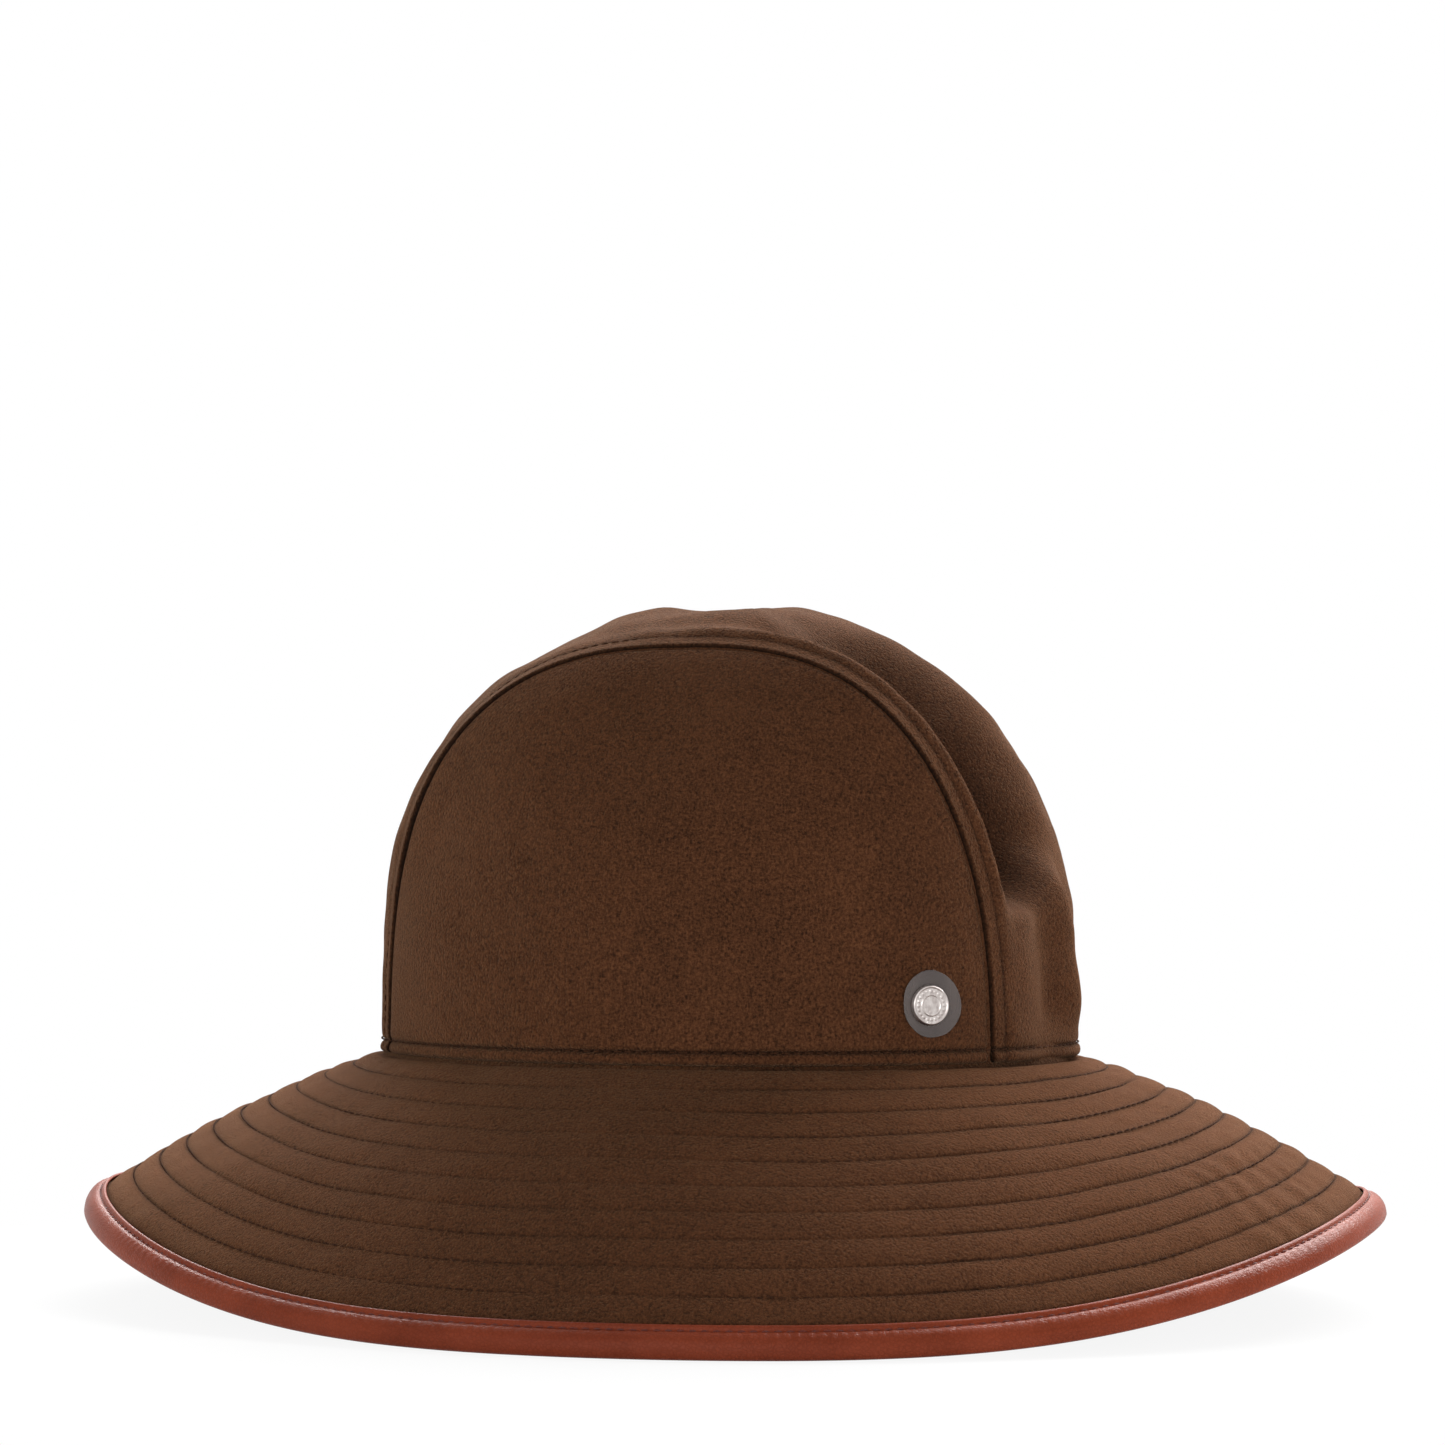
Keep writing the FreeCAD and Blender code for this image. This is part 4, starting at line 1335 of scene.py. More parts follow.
@dataclass
class QuiltedPly:
    """One felt ply of the brim: puffed between the stitch rows, puckered across them.

    Between rows the felt swells as a power of a sine of the distance along the slope, so that it
    meets each row in a narrow groove. Its seam allowance turns up inside the crown. `first_rows`
    and `row_steps` place the grid's rows in millimetres, from the seam and from each stitch row.
    """

    name: str
    node: str
    face: float
    facing: int
    allowance_inset: float
    wardrobe: Wardrobe
    swell: float = 0.7 * MM
    columns: int = 740
    seed: int = 31
    flat_from: float = 94 * MM
    first_rows: tuple[float, ...] = (0, 0.4, 0.9, 1.7, 2.8, 4.2, 5.5, 6.7, 7.7, 8.4, 8.84)
    row_steps: tuple[float, ...] = (0, 0.35, 0.8, 1.5, 2.5, 3.7, 4.6, 5.5, 6.7, 7.7, 8.4, 8.84)

    def relief(self, around: np.ndarray, along: np.ndarray) -> np.ndarray:
        """How far the felt swells out of its face.

        The swelling between rows, ripples, broad waves and puckers are added up, the first three
        stronger at the two ends of the hat, and all fade out under the leather.

        Args:
            around: angle of the head oval.
            along: distance down the slope.

        Returns:
            The distance out of the face.
        """
        place = BRIM.place(around, along, np.zeros_like(along))
        puff = np.abs(np.sin(math.pi * along / ROW_PITCH)) ** 0.5
        quilted = ease((93.5 * MM - along) / (2 * MM))
        ends = np.abs(np.cos(around)) ** 1.5
        rise = (puff - 0.76) * self.swell * (0.3 + ends) * quilted
        rise += turned_in(along, 1.6 * MM, 0.9 * MM)
        fullness = 0.3 + 0.7 * ends + 0.3 * waves(place, 90 * MM, self.seed)
        ripple = (waves(place, 22 * MM, self.seed + 1) * 0.26 * MM
                  + waves(place, 10 * MM, self.seed + 2) * 0.12 * MM)
        broad = waves(place, 75 * MM, self.seed + 3) * 0.5 * MM
        crossing = around * TAU / 0.068 + 2.2 * waves(place, 34 * MM, self.seed + 4)
        pucker = np.cos(crossing) * self.puckered(around, along)
        rise += (ripple * fullness * (0.35 + 0.65 * puff) + broad * ease(along / (30 * MM))
                 + pucker * (0.4 + 0.6 * puff)) * quilted
        return np.maximum(rise, -0.85 * MM)

    def puckered(self, around: np.ndarray, along: np.ndarray) -> np.ndarray:
        """Height of the creases that run outwards across the outer rows, at one end of the hat."""
        turned = (around + math.pi) % TAU - math.pi
        return 0.36 * MM * hill(turned, -0.2, 0.16) * ease((along - 46 * MM) / (18 * MM))

    def nap(self, around: np.ndarray, along: np.ndarray) -> np.ndarray:
        """Painted light on a ply: painted shade in the stitch rows, and on the top ply a painted highlight at
        both ends.

        Args:
            around: angle of the head oval.
            along: distance down the slope.

        Returns:
            Painted shade above 0 and painted highlight below 0.
        """
        in_row = hill(np.abs((along + ROW_PITCH / 2) % ROW_PITCH - ROW_PITCH / 2), 0, 0.8 * MM)
        ends = np.abs(np.cos(around))
        uneven = 0.12 + 0.5 * ends + 0.3 * waves(BRIM.place(around, along, 0 * along), 50 * MM, self.seed + 6)
        # Painted shade in the stitch rows, uneven along them.
        creases = 0.45 * np.clip(uneven, 0, 1) * in_row * (along < self.flat_from)
        # Painted highlight at both ends of the top ply.
        painted_highlight = 0.75 * ends ** 1.5 if self.facing > 0 else 0
        return creases - painted_highlight * (1 - in_row)

    def build(self) -> None:
        """Makes the ply as one closed ring."""
        around = OVAL.even_turns(self.columns, BRIM_EVEN)[None]
        steps = np.array(self.row_steps) * MM
        rows = [np.array(self.first_rows) * MM, *(row * ROW_PITCH + steps for row in range(1, ROWS + 1)),
                np.array([(ROWS + 1) * ROW_PITCH, self.flat_from, PLY_END])]
        along = np.concatenate(rows)[:, None] * np.ones_like(around)
        relief = self.relief(around, along) * self.facing
        shown = BRIM.section(around, along, self.face + relief)
        hidden_along = np.array([PLY_END, 60 * MM, 20 * MM, 0.5 * MM])[:, None] * np.ones_like(around)
        hidden = BRIM.section(around, hidden_along, self.face - self.facing * CLOTH)
        tall = np.array([1.5, 4, 7, 8])[:, None] * MM * np.ones_like(around)
        faces = (-self.allowance_inset, -self.allowance_inset - CLOTH)
        rising, falling = faces[::-1] if self.facing > 0 else faces
        allowance = ((np.full_like(tall, rising), tall), (np.full_like(tall, falling), tall[::-1]))
        loop_out, loop_height = (np.concatenate(part) for part in zip(shown, hidden, *allowance))
        loop = OVAL.sweep(around, loop_out, BRIM.seam_height + loop_height)
        piece = ring_piece(self.name, loop)
        mark_painted_light(piece, self.nap(around, along))
        self.wardrobe.dress(piece, FELT, "wool_cloth", stands_for=(self.node,))


@dataclass
class BrimStitches:
    """Nine rows of lockstitch, needle thread on top and bobbin thread below."""

    wardrobe: Wardrobe
    run: StitchRun = StitchRun()
    sunk: float = 0.42 * MM
    places: int = 1400
    spread: float = 0.8

    def build(self) -> None:
        """Makes one piece for each row and face."""
        for row in range(1, ROWS + 1):
            along = row * ROW_PITCH
            around = OVAL.even_turns(self.places, along * self.spread)
            for kind, above, over in (("needle", -self.sunk, 1), ("bobbin", -STACK + self.sunk, -1)):
                distance = np.full_like(around, along)
                line = BRIM.place(around, distance, np.full_like(around, above))
                up = BRIM.place(around, distance, np.full_like(around, above + over * MM)) - line
                piece = self.run.lay(f"brim_{kind}_stitches_{row}", line, up / MM)
                self.wardrobe.dress(piece, SEWING, "thread", stands_for=(f"brim_{kind}_row_{row}",))


@dataclass
class BrimFiller:
    """The plain rings hidden in the brim, each a closed section carried round it."""

    wardrobe: Wardrobe
    columns: int = 400
    gap: float = 0.1 * MM
    stiffener: float = 0.6 * MM
    cord_middle: float = 98.2 * MM
    cord_radius: float = 1.6 * MM
    cord_sides: int = 16

    def lay(self, name: str, node: str, section: list[tuple[float, float]], finish: Finish,
            slot: str) -> None:
        """Makes one ring.

        Args:
            name: the piece's name.
            node: the CAD node it stands for.
            section: (distance down the slope, height over the brim's face) places.
            finish: its finish.
            slot: the record's slot.
        """
        around = OVAL.even_turns(self.columns, BRIM_EVEN)[None]
        along, above = (np.array(section)[:, i, None] + 0 * around for i in (0, 1))
        piece = ring_piece(name, BRIM.place(around + 0 * along, along, above))
        self.wardrobe.dress(piece, finish, slot, stands_for=(node,))

    def build(self) -> None:
        """Makes the stiffener between the plies and the cord in the rolled edge."""
        top = -CLOTH - self.gap
        under = top - self.stiffener
        steps = np.linspace(0.6 * MM, PLY_END, 12)
        sheet = [(d, top) for d in steps] + [(d, under) for d in steps[::-1]]
        self.lay("stiffening_cloth", "brim_stiffener", sheet, CANVAS, "stiffener")
        turn = np.arange(self.cord_sides) / self.cord_sides * TAU
        cord = [(self.cord_middle + self.cord_radius * math.cos(a),
                 -STACK / 2 + self.cord_radius * math.sin(a)) for a in turn]
        self.lay("rolled_edge_cord", "edge_cord", cord, COTTON, "cord")


@dataclass
class LeatherBinding:
    """Leather folded over the brim's edge: a soft roll, a stitch groove and a thin raised lip.

    The section is a closed smooth curve through the listed places, each (distance along the slope,
    height over the brim's upper face) in millimetres. The leather gathers a little at every stitch,
    so low ridges run out from the groove across the roll.
    """

    wardrobe: Wardrobe
    columns: int = 1740
    groove: float = 93.7 * MM
    pucker: float = 0.16 * MM
    thread_over: float = 0.72 * MM
    stitch_places: int = 2400

    half_section = ((91.95, 0.15), (91.78, 0.5), (91.95, 0.9), (92.4, 1.06), (92.95, 1.02), (93.4, 0.72),
                    (93.7, 0.5), (94.0, 0.76), (94.5, 1.14), (95.2, 1.42), (96.2, 1.55), (97.3, 1.42),
                    (98.3, 1.08), (99.3, 0.5), (100.2, -0.35), (100.8, -1.0))
    back_section = ((98.6, -3.5), (96.4, -3.62), (94.0, -3.62), (92.0, -3.6))
    nose = 101.0 * MM
    fold = 99.9 * MM

    def section(self) -> tuple[np.ndarray, np.ndarray]:
        """The whole section: top, nose, underside, and the inner faces round the fold.

        Returns:
            Distances along the slope and heights over the brim's upper face.
        """
        top = np.array(self.half_section) * MM
        nose = np.array([[self.nose, -STACK / 2]])
        under = top[::-1] * (1, -1) - (0, STACK)
        inner = np.array(self.back_section)[::-1] * MM
        upper_inner = inner[::-1] * (1, -1) - (0, STACK)
        middle = np.array([[self.fold, -STACK / 2]])
        whole = np.concatenate([top, nose, under, inner, middle, upper_inner])
        return whole[:, :1], whole[:, 1:]

    def build(self) -> None:
        """Makes the binding and its two stitch lines."""
        around = OVAL.even_turns(self.columns, EDGE_EVEN)[None]
        along, above = self.section()
        place = BRIM.place(around, along + 0 * around, above + 0 * around)
        shown = ease((np.abs(above + STACK / 2) - 1.2 * MM) / MM) * ease((along - 91 * MM) / MM)
        outside = shown * np.sign(above + STACK / 2)
        stitches = round(self.perimeter() / STITCH_PITCH)
        phase = np.arange(self.columns)[None] / self.columns * stitches * TAU
        unevenness = 0.6 + 0.5 * waves(place, 60 * MM, 51)
        near_groove = hill(along, self.groove + 1.3 * MM, 1.3 * MM)
        gather = self.pucker * near_groove * np.cos(phase + 1.2 * waves(place, 14 * MM, 52)) * unevenness
        gather -= 0.12 * MM * hill(along, self.groove, 0.5 * MM) * np.cos(phase)
        roll = 0.16 * MM * waves(place, 26 * MM, 53) * hill(along, 96.5 * MM, 3 * MM)
        loop = BRIM.place(around, along + 0 * around, above + outside * (gather + roll))
        piece = ring_piece("leather_binding", loop)
        self.wardrobe.dress(piece, LEATHER, "leather", stands_for=("edge_binding",))
        run = StitchRun(pitch=self.perimeter() / stitches, length=2.3 * MM, radius=0.27 * MM)
        turn = np.append(OVAL.even_turns(self.stitch_places, EDGE_EVEN), TAU)
        distance = np.full_like(turn, self.groove)
        for kind, height, over in (("needle", self.thread_over, 1),
                                   ("bobbin", -STACK - self.thread_over, -1)):
            line = BRIM.place(turn, distance, np.full_like(turn, height))
            up = BRIM.place(turn, distance, np.full_like(turn, height + over * MM)) - line
            piece = run.lay(f"binding_{kind}_stitches", line, up / MM, closed=False)
            self.wardrobe.dress(piece, LEATHER_SEWING, "leather_thread",
                                stands_for=(f"binding_{kind}_row",))

    def perimeter(self) -> float:
        """Length of the stitch line.

        Returns:
            The length in metres.
        """
        turn = np.linspace(0, TAU, 2401)
        line = BRIM.place(turn, np.full_like(turn, self.groove), np.zeros_like(turn))
        return float(np.linalg.norm(np.diff(line, axis=0), axis=1).sum())


# ---------------------------------------------------------------- inside


@dataclass
class Lining:
    """Loose lining of two side pieces and a strip, a little slack between its seams."""

    wardrobe: Wardrobe
    inset: float = 4.5 * MM
    cloth: float = 0.4 * MM
    pitch: float = 2.6 * MM
    wider: float = 4 * MM

    def slack(self, base: np.ndarray, edge: np.ndarray, up: np.ndarray, seed: int) -> np.ndarray:
        """How far the lining hangs off its plain shape: soft waves inside, drawn in at the seams.

        Args:
            base: places on the plain shape.
            edge: their distance from the nearest seam.
            up: their height over the crown's foot.
            seed: fixes the waves.

        Returns:
            The distance outwards.
        """
        free = ease(edge / (9 * MM)) * ease((up - 8 * MM) / (30 * MM))
        soft = (0.9 * waves(base, 46 * MM, seed, (1, 1, 2.4))
                + 0.35 * waves(base, 19 * MM, seed + 1, (1, 1, 2)))
        return MM * (free * soft - 0.35 * (1 - ease(edge / (2.2 * MM))) * ease(up / (6 * MM)))

    def build(self) -> None:
        """Makes the three pieces."""
        for side in Side:
            grid = PanelGrid(self.inset, side, pitch=self.pitch)
            x, up, to_arch = grid.flat()
            base = grid.wall(x, up)
            shift = normals(base, HEART) * self.slack(base, to_arch, up, 61)[..., None]
            word = side.name.lower()
            piece = sheet_piece(f"lining_piece_{word}", base + shift, grid.wall(x, up, self.cloth) + shift)
            self.wardrobe.dress(piece, LINING, "lining_cloth", stands_for=(f"lining_{word}",))
        strip = StripGrid(self.inset, pitch=self.pitch)
        angle, distance, from_far = strip.lay()
        base = strip.point(angle, distance)
        edge = np.minimum(distance, from_far)
        out = normals(base, HEART)
        shift = out * self.slack(base, edge, base[..., 2] - CROWN_FOOT, 64)[..., None]
        felt = FeltStrip(self.wardrobe)
        sunk = felt.hollow_depth * felt.hollow(angle, distance, from_far, self.wider)
        shift -= out * np.clip(sunk - self.cloth, 0, None)[..., None]
        piece = sheet_piece("lining_piece_strip", base + shift,
                            strip.point(angle, distance, self.cloth) + shift)
        self.wardrobe.dress(piece, LINING, "lining_cloth", stands_for=("lining_strip",))


@dataclass
class Sweatband:
    """Ribbed ribbon round the inside of the crown's foot, with one line of stitches.

    `rows` are heights in millimetres. The texture's places are metres of ribbon: `length` metres one
    way, and the outer face `outer_from` metres away from the inner one the other way.
    """

    wardrobe: Wardrobe
    inset: float = 5.2 * MM
    ribbon: float = 0.6 * MM
    stitch_height: float = 2.5 * MM
    columns: int = 640
    inward: float = -6 * MM
    length: float = 0.57
    outer_from: float = 40 * MM
    rows: tuple[float, ...] = (0, 0.4, 1.2, 2.0, 2.5, 3.0, 4, 6, 9, 12, 15, 18, 21, 24, 26.4, 27.6, 28)

    def face(self, around: np.ndarray, up: np.ndarray, inset: np.ndarray) -> np.ndarray:
        """Places on the band: an ellipse at every height, drawn in as the crown draws in.

        Args:
            around: angle of the ellipse.
            up: height over the crown's foot.
            inset: distance inside the crown.

        Returns:
            The places.
        """
        end = OVAL.half_length * (1 - (up / CROWN.height) ** CROWN.squareness) ** (1 / CROWN.squareness)
        side = CROWN.panel_half_width(up, 0.0)
        x = (end - inset) * np.cos(around)
        y = (side - inset) * np.sin(around)
        return np.stack(np.broadcast_arrays(x, y, CROWN_FOOT + up), -1)

    def build(self) -> None:
        """Makes the band, as one closed ring, and its stitches."""
        around = OVAL.even_turns(self.columns, self.inward)[None]
        up = np.array(self.rows)[:, None] * MM
        place = self.face(around, up, self.inset + 0 * up)
        free = ease((up - 3 * MM) / (20 * MM))
        ripple = 0.3 * MM * free * waves(place, 40 * MM, 71, (1, 1, 2))
        groove = 0.12 * MM * hill(up, self.stitch_height, 0.5 * MM)
        inside = self.face(around, up, self.inset + self.ribbon + ripple - groove)
        outside = self.face(around, up, self.inset + ripple)
        loop = np.concatenate([inside, outside[::-1]])
        rows = np.concatenate([up[:, 0], up[::-1, 0] + self.outer_from, up[-1] + self.outer_from])
        columns = np.arange(self.columns + 1) / self.columns * self.length
        piece = ring_piece("ribbed_sweatband", loop, (rows, columns))
        self.wardrobe.dress(piece, RIBBON, "ribbon", stands_for=("sweatband",))
        turn = OVAL.even_turns(1200, self.inward)
        height = np.full_like(turn, self.stitch_height)
        line = self.face(turn, height, self.inset + self.ribbon - 0.02 * MM + 0 * turn)
        x, y = OVAL.outward(turn)
        up_vector = -np.stack([x, y, 0 * x], -1)
        piece = StitchRun(radius=0.22 * MM).lay("sweatband_stitches", line, up_vector)
        self.wardrobe.dress(piece, SEWING, "thread", stands_for=("sweatband_stitch",))


@dataclass
class CareTag:
    """A blank folded ribbon that hangs inside at the back."""

    wardrobe: Wardrobe

    def build(self) -> None:
        """Makes the tag: a thin sheet with a soft belly and turned hems at both sides."""
        low, high = (np.array(corner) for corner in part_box("care_tag"))
        middle = (low[0] + high[0]) / 2
        thick = (high[0] - low[0]) / 2
        across, drop = np.meshgrid(np.linspace(-1, 1, 41), np.linspace(0, 1, 31), indexing="xy")
        y = across * (high[1] - low[1]) / 2
        z = high[2] - drop * (high[2] - low[2])
        belly = 0.35 * MM * np.sin(math.pi * drop) * (1 - 0.3 * across ** 2)
        hem = 0.12 * MM * ease((np.abs(across) - 0.86) / 0.04)
        curl = 0.25 * MM * drop ** 2 * across
        round_off = np.sqrt(np.clip(1 - ease((np.abs(across) - 0.97) / 0.06), 0.05, 1))
        half = (thick - 0.08 * MM + hem) * round_off
        centre = middle + belly + curl
        front = np.stack([centre + half, y, z], -1)
        back = np.stack([centre - half, y, z], -1)
        piece = sheet_piece("blank_care_tag", front, back)
        self.wardrobe.dress(piece, TAG_RIBBON, "tag_ribbon", Body.TAG, ("care_tag",))


# ---------------------------------------------------------------- stud


@dataclass
class Stud:
    """Round metal stud with a beaded ring, its clear film, and the patch behind the cloth."""

    frame: dict
    wardrobe: Wardrobe
    along: float = 78 * MM
    up: float = 17 * MM
    radius: float = 5.75 * MM
    beads: int = 20
    columns: int = 160
    cap_back: float = 0.65 * MM
    film_shift: tuple[float, float] = (1.0 * MM, 0)

    def axes(self) -> tuple[np.ndarray, np.ndarray, np.ndarray, np.ndarray]:
        """Reads where the stud's joint is.

        Returns:
            The stud's place on the felt, and its axis, sideways and upward directions.
        """
        joint = next(joint for joint in self.frame["joints"] if joint["name"] == "stud_turn")
        axis, place = np.array(joint["axis"], float), np.array(joint["pos_m"], float)
        axis /= np.linalg.norm(axis)
        sideways = np.cross([0, 0, 1], axis)
        sideways /= np.linalg.norm(sideways)
        return place, axis, sideways, np.cross(axis, sideways)

    def disc(self, radius: np.ndarray, turn: np.ndarray, out: np.ndarray,
             shift: tuple[float, float] = (0, 0)) -> np.ndarray:
        """Places about the stud's axis, all arrays of one shape.

        Args:
            radius: distance from the axis.
            turn: angle about it.
            out: distance out from the felt.
            shift: how far the middle is moved sideways and upwards.

        Returns:
            The places.
        """
        place, axis, sideways, upward = self.axes()
        flat_x = (radius * np.cos(turn) + shift[0])[..., None] * sideways
        flat_y = (radius * np.sin(turn) + shift[1])[..., None] * upward
        return place + flat_x + flat_y + out[..., None] * axis

    def cap_relief(self, share: np.ndarray, turn: np.ndarray) -> np.ndarray:
        """Height of the cap over its back: a rounded rim, a beaded ring and a low boss.

        Args:
            share: distance from the middle as a share of the radius.
            turn: angle about the axis.

        Returns:
            Height in metres.
        """
        base = 1.15 - 0.25 * share ** 2
        rim = 0.38 * hill(share, 0.9, 0.06) - 0.7 * ease((share - 0.93) / 0.07) ** 2
        ring = 0.26 * hill(share, 0.5, 0.04)
        swirl = np.abs(np.cos(turn * self.beads / 2))
        bead = 0.3 * hill(share, 0.7, 0.085) * swirl
        petals = 0.2 * hill(share, 0.33, 0.09) * np.abs(np.cos(turn * 4))
        boss = 0.3 * hill(share, 0.0, 0.16)
        return (base + rim + ring + bead + petals + boss) * MM

    def build(self) -> None:
        """Makes the cap, film and patch, and paints the post and backplate."""
        turn = np.arange(self.columns)[None] / self.columns * TAU
        share = np.concatenate([[0], np.linspace(0.02, 0.94, 60), np.linspace(0.95, 1, 7)])[:, None]
        front = self.disc(share * self.radius + 0 * turn, turn + 0 * share,
                          self.cap_back + self.cap_relief(share, turn))
        flat = share[[0, 20, 45, -8, -1]] * np.array([[1], [1], [1], [1], [0.985]])
        back = self.disc(flat * self.radius + 0 * turn, turn + 0 * flat, self.cap_back + 0 * flat * turn)
        piece = disc_piece("stud_beaded_cap", front, back)
        self.wardrobe.dress(piece, NICKEL, "stud_metal", Body.STUD, ("stud_cap",))
        self.build_film(turn)
        self.build_patch(turn)
        for node in ("stud_post", "stud_backplate"):
            self.wardrobe.paint_node(self.frame["nodes"][node], DULL_NICKEL)

    def build_film(self, turn: np.ndarray) -> None:
        """A thin film cut by hand: its outline is a circle with three slow waves and a faint quick one.

        Args:
            turn: angles about the axis.
        """
        slow = 0.35 * np.cos(turn - 1.9) + 0.28 * np.cos(2 * turn + 2.6) + 0.1 * np.cos(3 * turn + 0.4)
        outline = (9.2 + slow + 0.05 * np.cos(7 * turn + 1.0)) * MM
        share = np.array([0, 0.2, 0.4, 0.6, 0.75, 0.88, 0.95, 0.985, 1.0])[:, None]
        lifted = 0.22 * MM * share ** 3 * (0.6 + 0.4 * np.cos(turn * 2 + 0.5))
        soften = 0.05 * MM * ease((share - 0.95) / 0.05)
        front = self.disc(share * outline, turn + 0 * share, 0.36 * MM + lifted - soften, self.film_shift)
        back = self.disc(share * outline, turn + 0 * share, 0.12 * MM + lifted, self.film_shift)
        piece = disc_piece("clear_film_disc", front, back)
        self.wardrobe.dress(piece, FILM, "clear_film", stands_for=("clear_film",))

    def build_patch(self, turn: np.ndarray) -> None:
        """A round leather patch with a pinked edge, behind the cloth.

        Args:
            turn: angles about the axis.
        """
        low, high = (np.array(corner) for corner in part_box("stud_patch"))
        place, axis, _, _ = self.axes()
        depth = float(np.dot((low + high) / 2 - place, axis))
        share = np.array([0, 0.3, 0.6, 0.85, 0.95, 1.0])[:, None]
        outline = (6.85 + 0.12 * np.cos(turn * 32)) * MM
        soften = 0.12 * MM * ease((share - 0.8) / 0.2)
        front = self.disc(share * outline, turn + 0 * share, depth + 0.25 * MM - soften + 0 * turn)
        back = self.disc(share * outline, turn + 0 * share, depth - 0.25 * MM + soften + 0 * turn)
        piece = disc_piece("leather_patch", front, back)
        self.wardrobe.dress(piece, LEATHER, "leather", stands_for=("stud_patch",))


# ---------------------------------------------------------------- studio


@dataclass(frozen=True)
class SoftLamp:
    """A rectangular soft lamp: where it stands, its sides in metres, its power and what it faces."""

    name: str
    place: Colour
    width: float
    height: float
    watts: float
    target: Colour = (0.0, 0.0, 0.1)

    def light(self) -> None:
        """Puts the lamp into the scene."""
        data = bpy.data.lights.new(self.name, "AREA")
        data.shape = "RECTANGLE"
        data.size, data.size_y, data.energy = self.width, self.height, self.watts
        lamp = bpy.data.objects.new(self.name, data)
        lamp.visible_camera = False
        lamp.location = self.place
        facing = Vector(self.target) - Vector(self.place)
        lamp.rotation_euler = facing.to_track_quat("-Z", "Y").to_euler()
        bpy.context.scene.collection.objects.link(lamp)


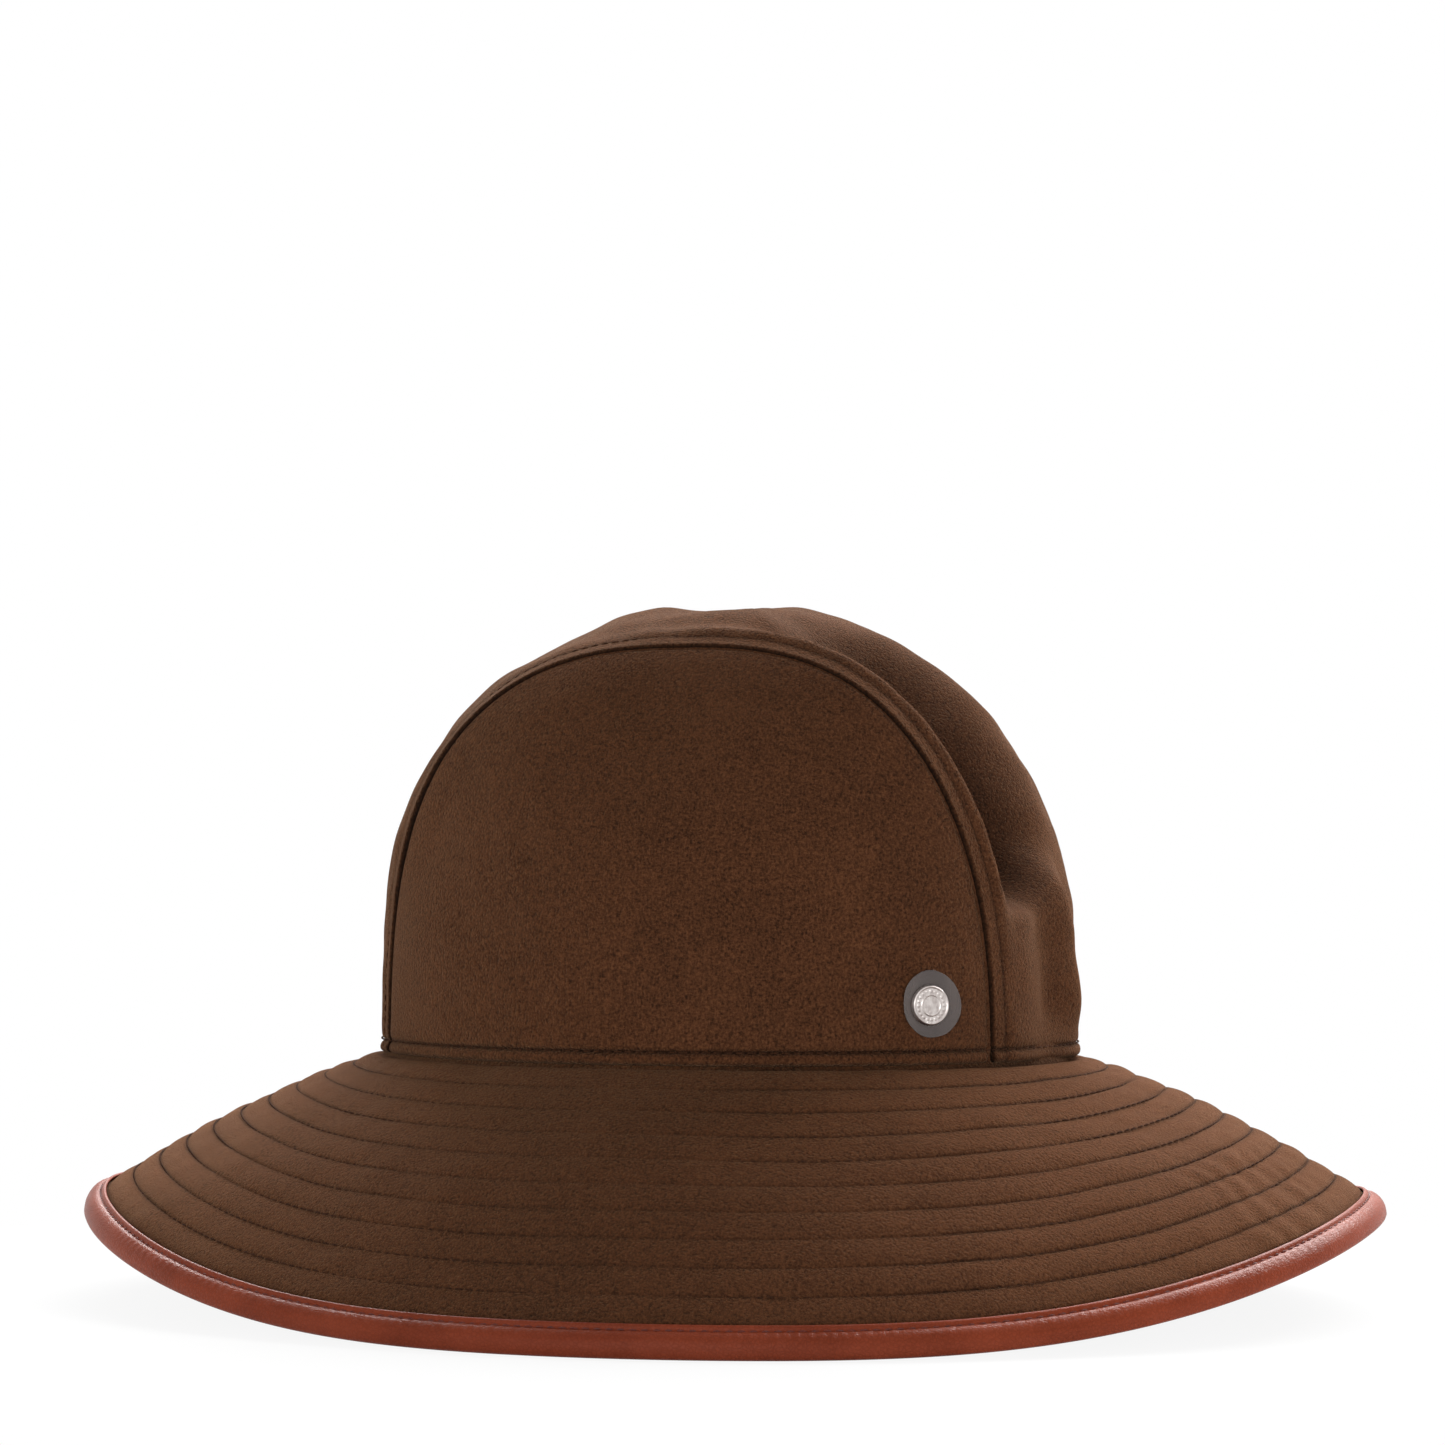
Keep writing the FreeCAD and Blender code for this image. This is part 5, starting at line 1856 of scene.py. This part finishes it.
@dataclass
class Studio:
    """White floor and surroundings, soft lamps and the camera."""

    azimuth: float = 17.92
    distance: float = 1.2007
    eye_height: float = 0.1331
    tilt: float = 1.852
    lens: float = 99.39
    target_x: float = -0.0013
    floor_half: float = 30.0
    floor_paint: float = 0.9
    dimness: float = 0.22
    lamps: tuple[SoftLamp, ...] = (SoftLamp("top_softbox", (0.1, 1.3, 1.5), 2.8, 1.0, 130.0),
                                   SoftLamp("front_fill", (0.0, -2.1, 0.55), 1.8, 1.2, 12.0))

    def build(self) -> None:
        """Makes the floor, the world, the lamps and the camera."""
        scene = bpy.context.scene
        scene.view_settings.view_transform = "Standard"
        self.floor()
        self.world(scene)
        for lamp in self.lamps:
            lamp.light()
        self.camera(scene)

    @staticmethod
    def seen(graph: Graph) -> bpy.types.NodeSocket:
        """1 for rays from the camera, from reflections and through clear things, 0 for the light's own.

        Args:
            graph: the material's or world's nodes.

        Returns:
            The share.
        """
        path = graph.add("LightPath")
        kinds = ("Camera", "Glossy", "Transmission")
        return graph.sum(*((path.outputs[f"Is {kind} Ray"], 1.0) for kind in kinds))

    def floor(self) -> None:
        """A large white floor that keeps the shadow near the hat and is plain white further out."""
        size = self.floor_half
        corners = np.array([[-size, -size, 0], [size, -size, 0], [size, size, 0], [-size, size, 0]], float)
        mesh = bpy.data.meshes.new("floor")
        mesh.from_pydata(corners.tolist(), [], [[0, 1, 2, 3]])
        floor = bpy.data.objects.new("floor", mesh)
        bpy.context.scene.collection.objects.link(floor)
        material = bpy.data.materials.new("white_floor")
        material.use_nodes = True
        graph = Graph(material.node_tree)
        matt = graph.add("BsdfDiffuse", {"Color": (self.floor_paint,) * 3})
        glow = graph.add("Emission", {"Color": (1.0, 1.0, 1.0), "Strength": 1.0})
        place = graph.add("TexCoord").outputs["Object"]
        away = graph.add("VectorMath", {0: place}, operation="LENGTH").outputs["Value"]
        share = graph.spread(away, 0.14, 0.34, 0.9, 1.0)
        white = graph.add("Math", {0: self.seen(graph), 1: share}, operation="MULTIPLY").outputs[0]
        mixed = graph.add("MixShader", {0: white, 1: matt.outputs[0], 2: glow.outputs[0]})
        graph.add("OutputMaterial", {"Surface": mixed.outputs[0]})
        floor.data.materials.append(material)

    def world(self, scene: bpy.types.Scene) -> None:
        """Plain dim surroundings that look white to the camera and in reflections.

        Args:
            scene: the scene they are put in.
        """
        world = bpy.data.worlds.new("studio")
        scene.world = world
        world.use_nodes = True
        graph = Graph(world.node_tree)
        dim = graph.add("Background", {"Color": (1.0, 1.0, 1.0), "Strength": self.dimness})
        white = graph.add("Background", {"Color": (1.0, 1.0, 1.0), "Strength": 1.0})
        mixed = graph.add("MixShader", {0: self.seen(graph), 1: dim.outputs[0], 2: white.outputs[0]})
        graph.add("OutputWorld", {"Surface": mixed.outputs[0]})

    def camera(self, scene: bpy.types.Scene) -> None:
        """A long lens a little above the crown's foot, tilted up a little.

        Args:
            scene: the scene it is put in.
        """
        angle = math.radians(self.azimuth)
        data = bpy.data.cameras.new("camera")
        data.lens = self.lens
        data.sensor_width = 36.0
        camera = bpy.data.objects.new("camera", data)
        back = Vector((math.sin(angle), -math.cos(angle), 0))
        right = Vector((math.cos(angle), math.sin(angle), 0))
        camera.location = back * self.distance + right * self.target_x + Vector((0, 0, self.eye_height))
        aim = -back + Vector((0, 0, math.tan(math.radians(self.tilt))))
        camera.rotation_euler = aim.to_track_quat("-Z", "Y").to_euler()
        scene.collection.objects.link(camera)
        scene.camera = camera


def main() -> None:
    """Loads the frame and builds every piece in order."""
    logging.basicConfig(level=logging.INFO, format="%(name)s: %(message)s")
    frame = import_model()
    wardrobe = Wardrobe()
    for side in Side:
        FeltPanel(side, wardrobe).build()
    FeltStrip(wardrobe).build()
    CrownStitches(wardrobe).build()
    QuiltedPly("brim_top_felt", "brim_top_cloth", 0.0, 1, 1.5 * MM, wardrobe).build()
    QuiltedPly("brim_under_felt", "brim_under_cloth", -STACK, -1, 2.9 * MM, wardrobe,
               columns=620, seed=41).build()
    BrimStitches(wardrobe).build()
    BrimFiller(wardrobe).build()
    LeatherBinding(wardrobe).build()
    Lining(wardrobe).build()
    Sweatband(wardrobe).build()
    CareTag(wardrobe).build()
    Stud(frame, wardrobe).build()
    Studio().build()


if __name__ == "__main__":
    main()
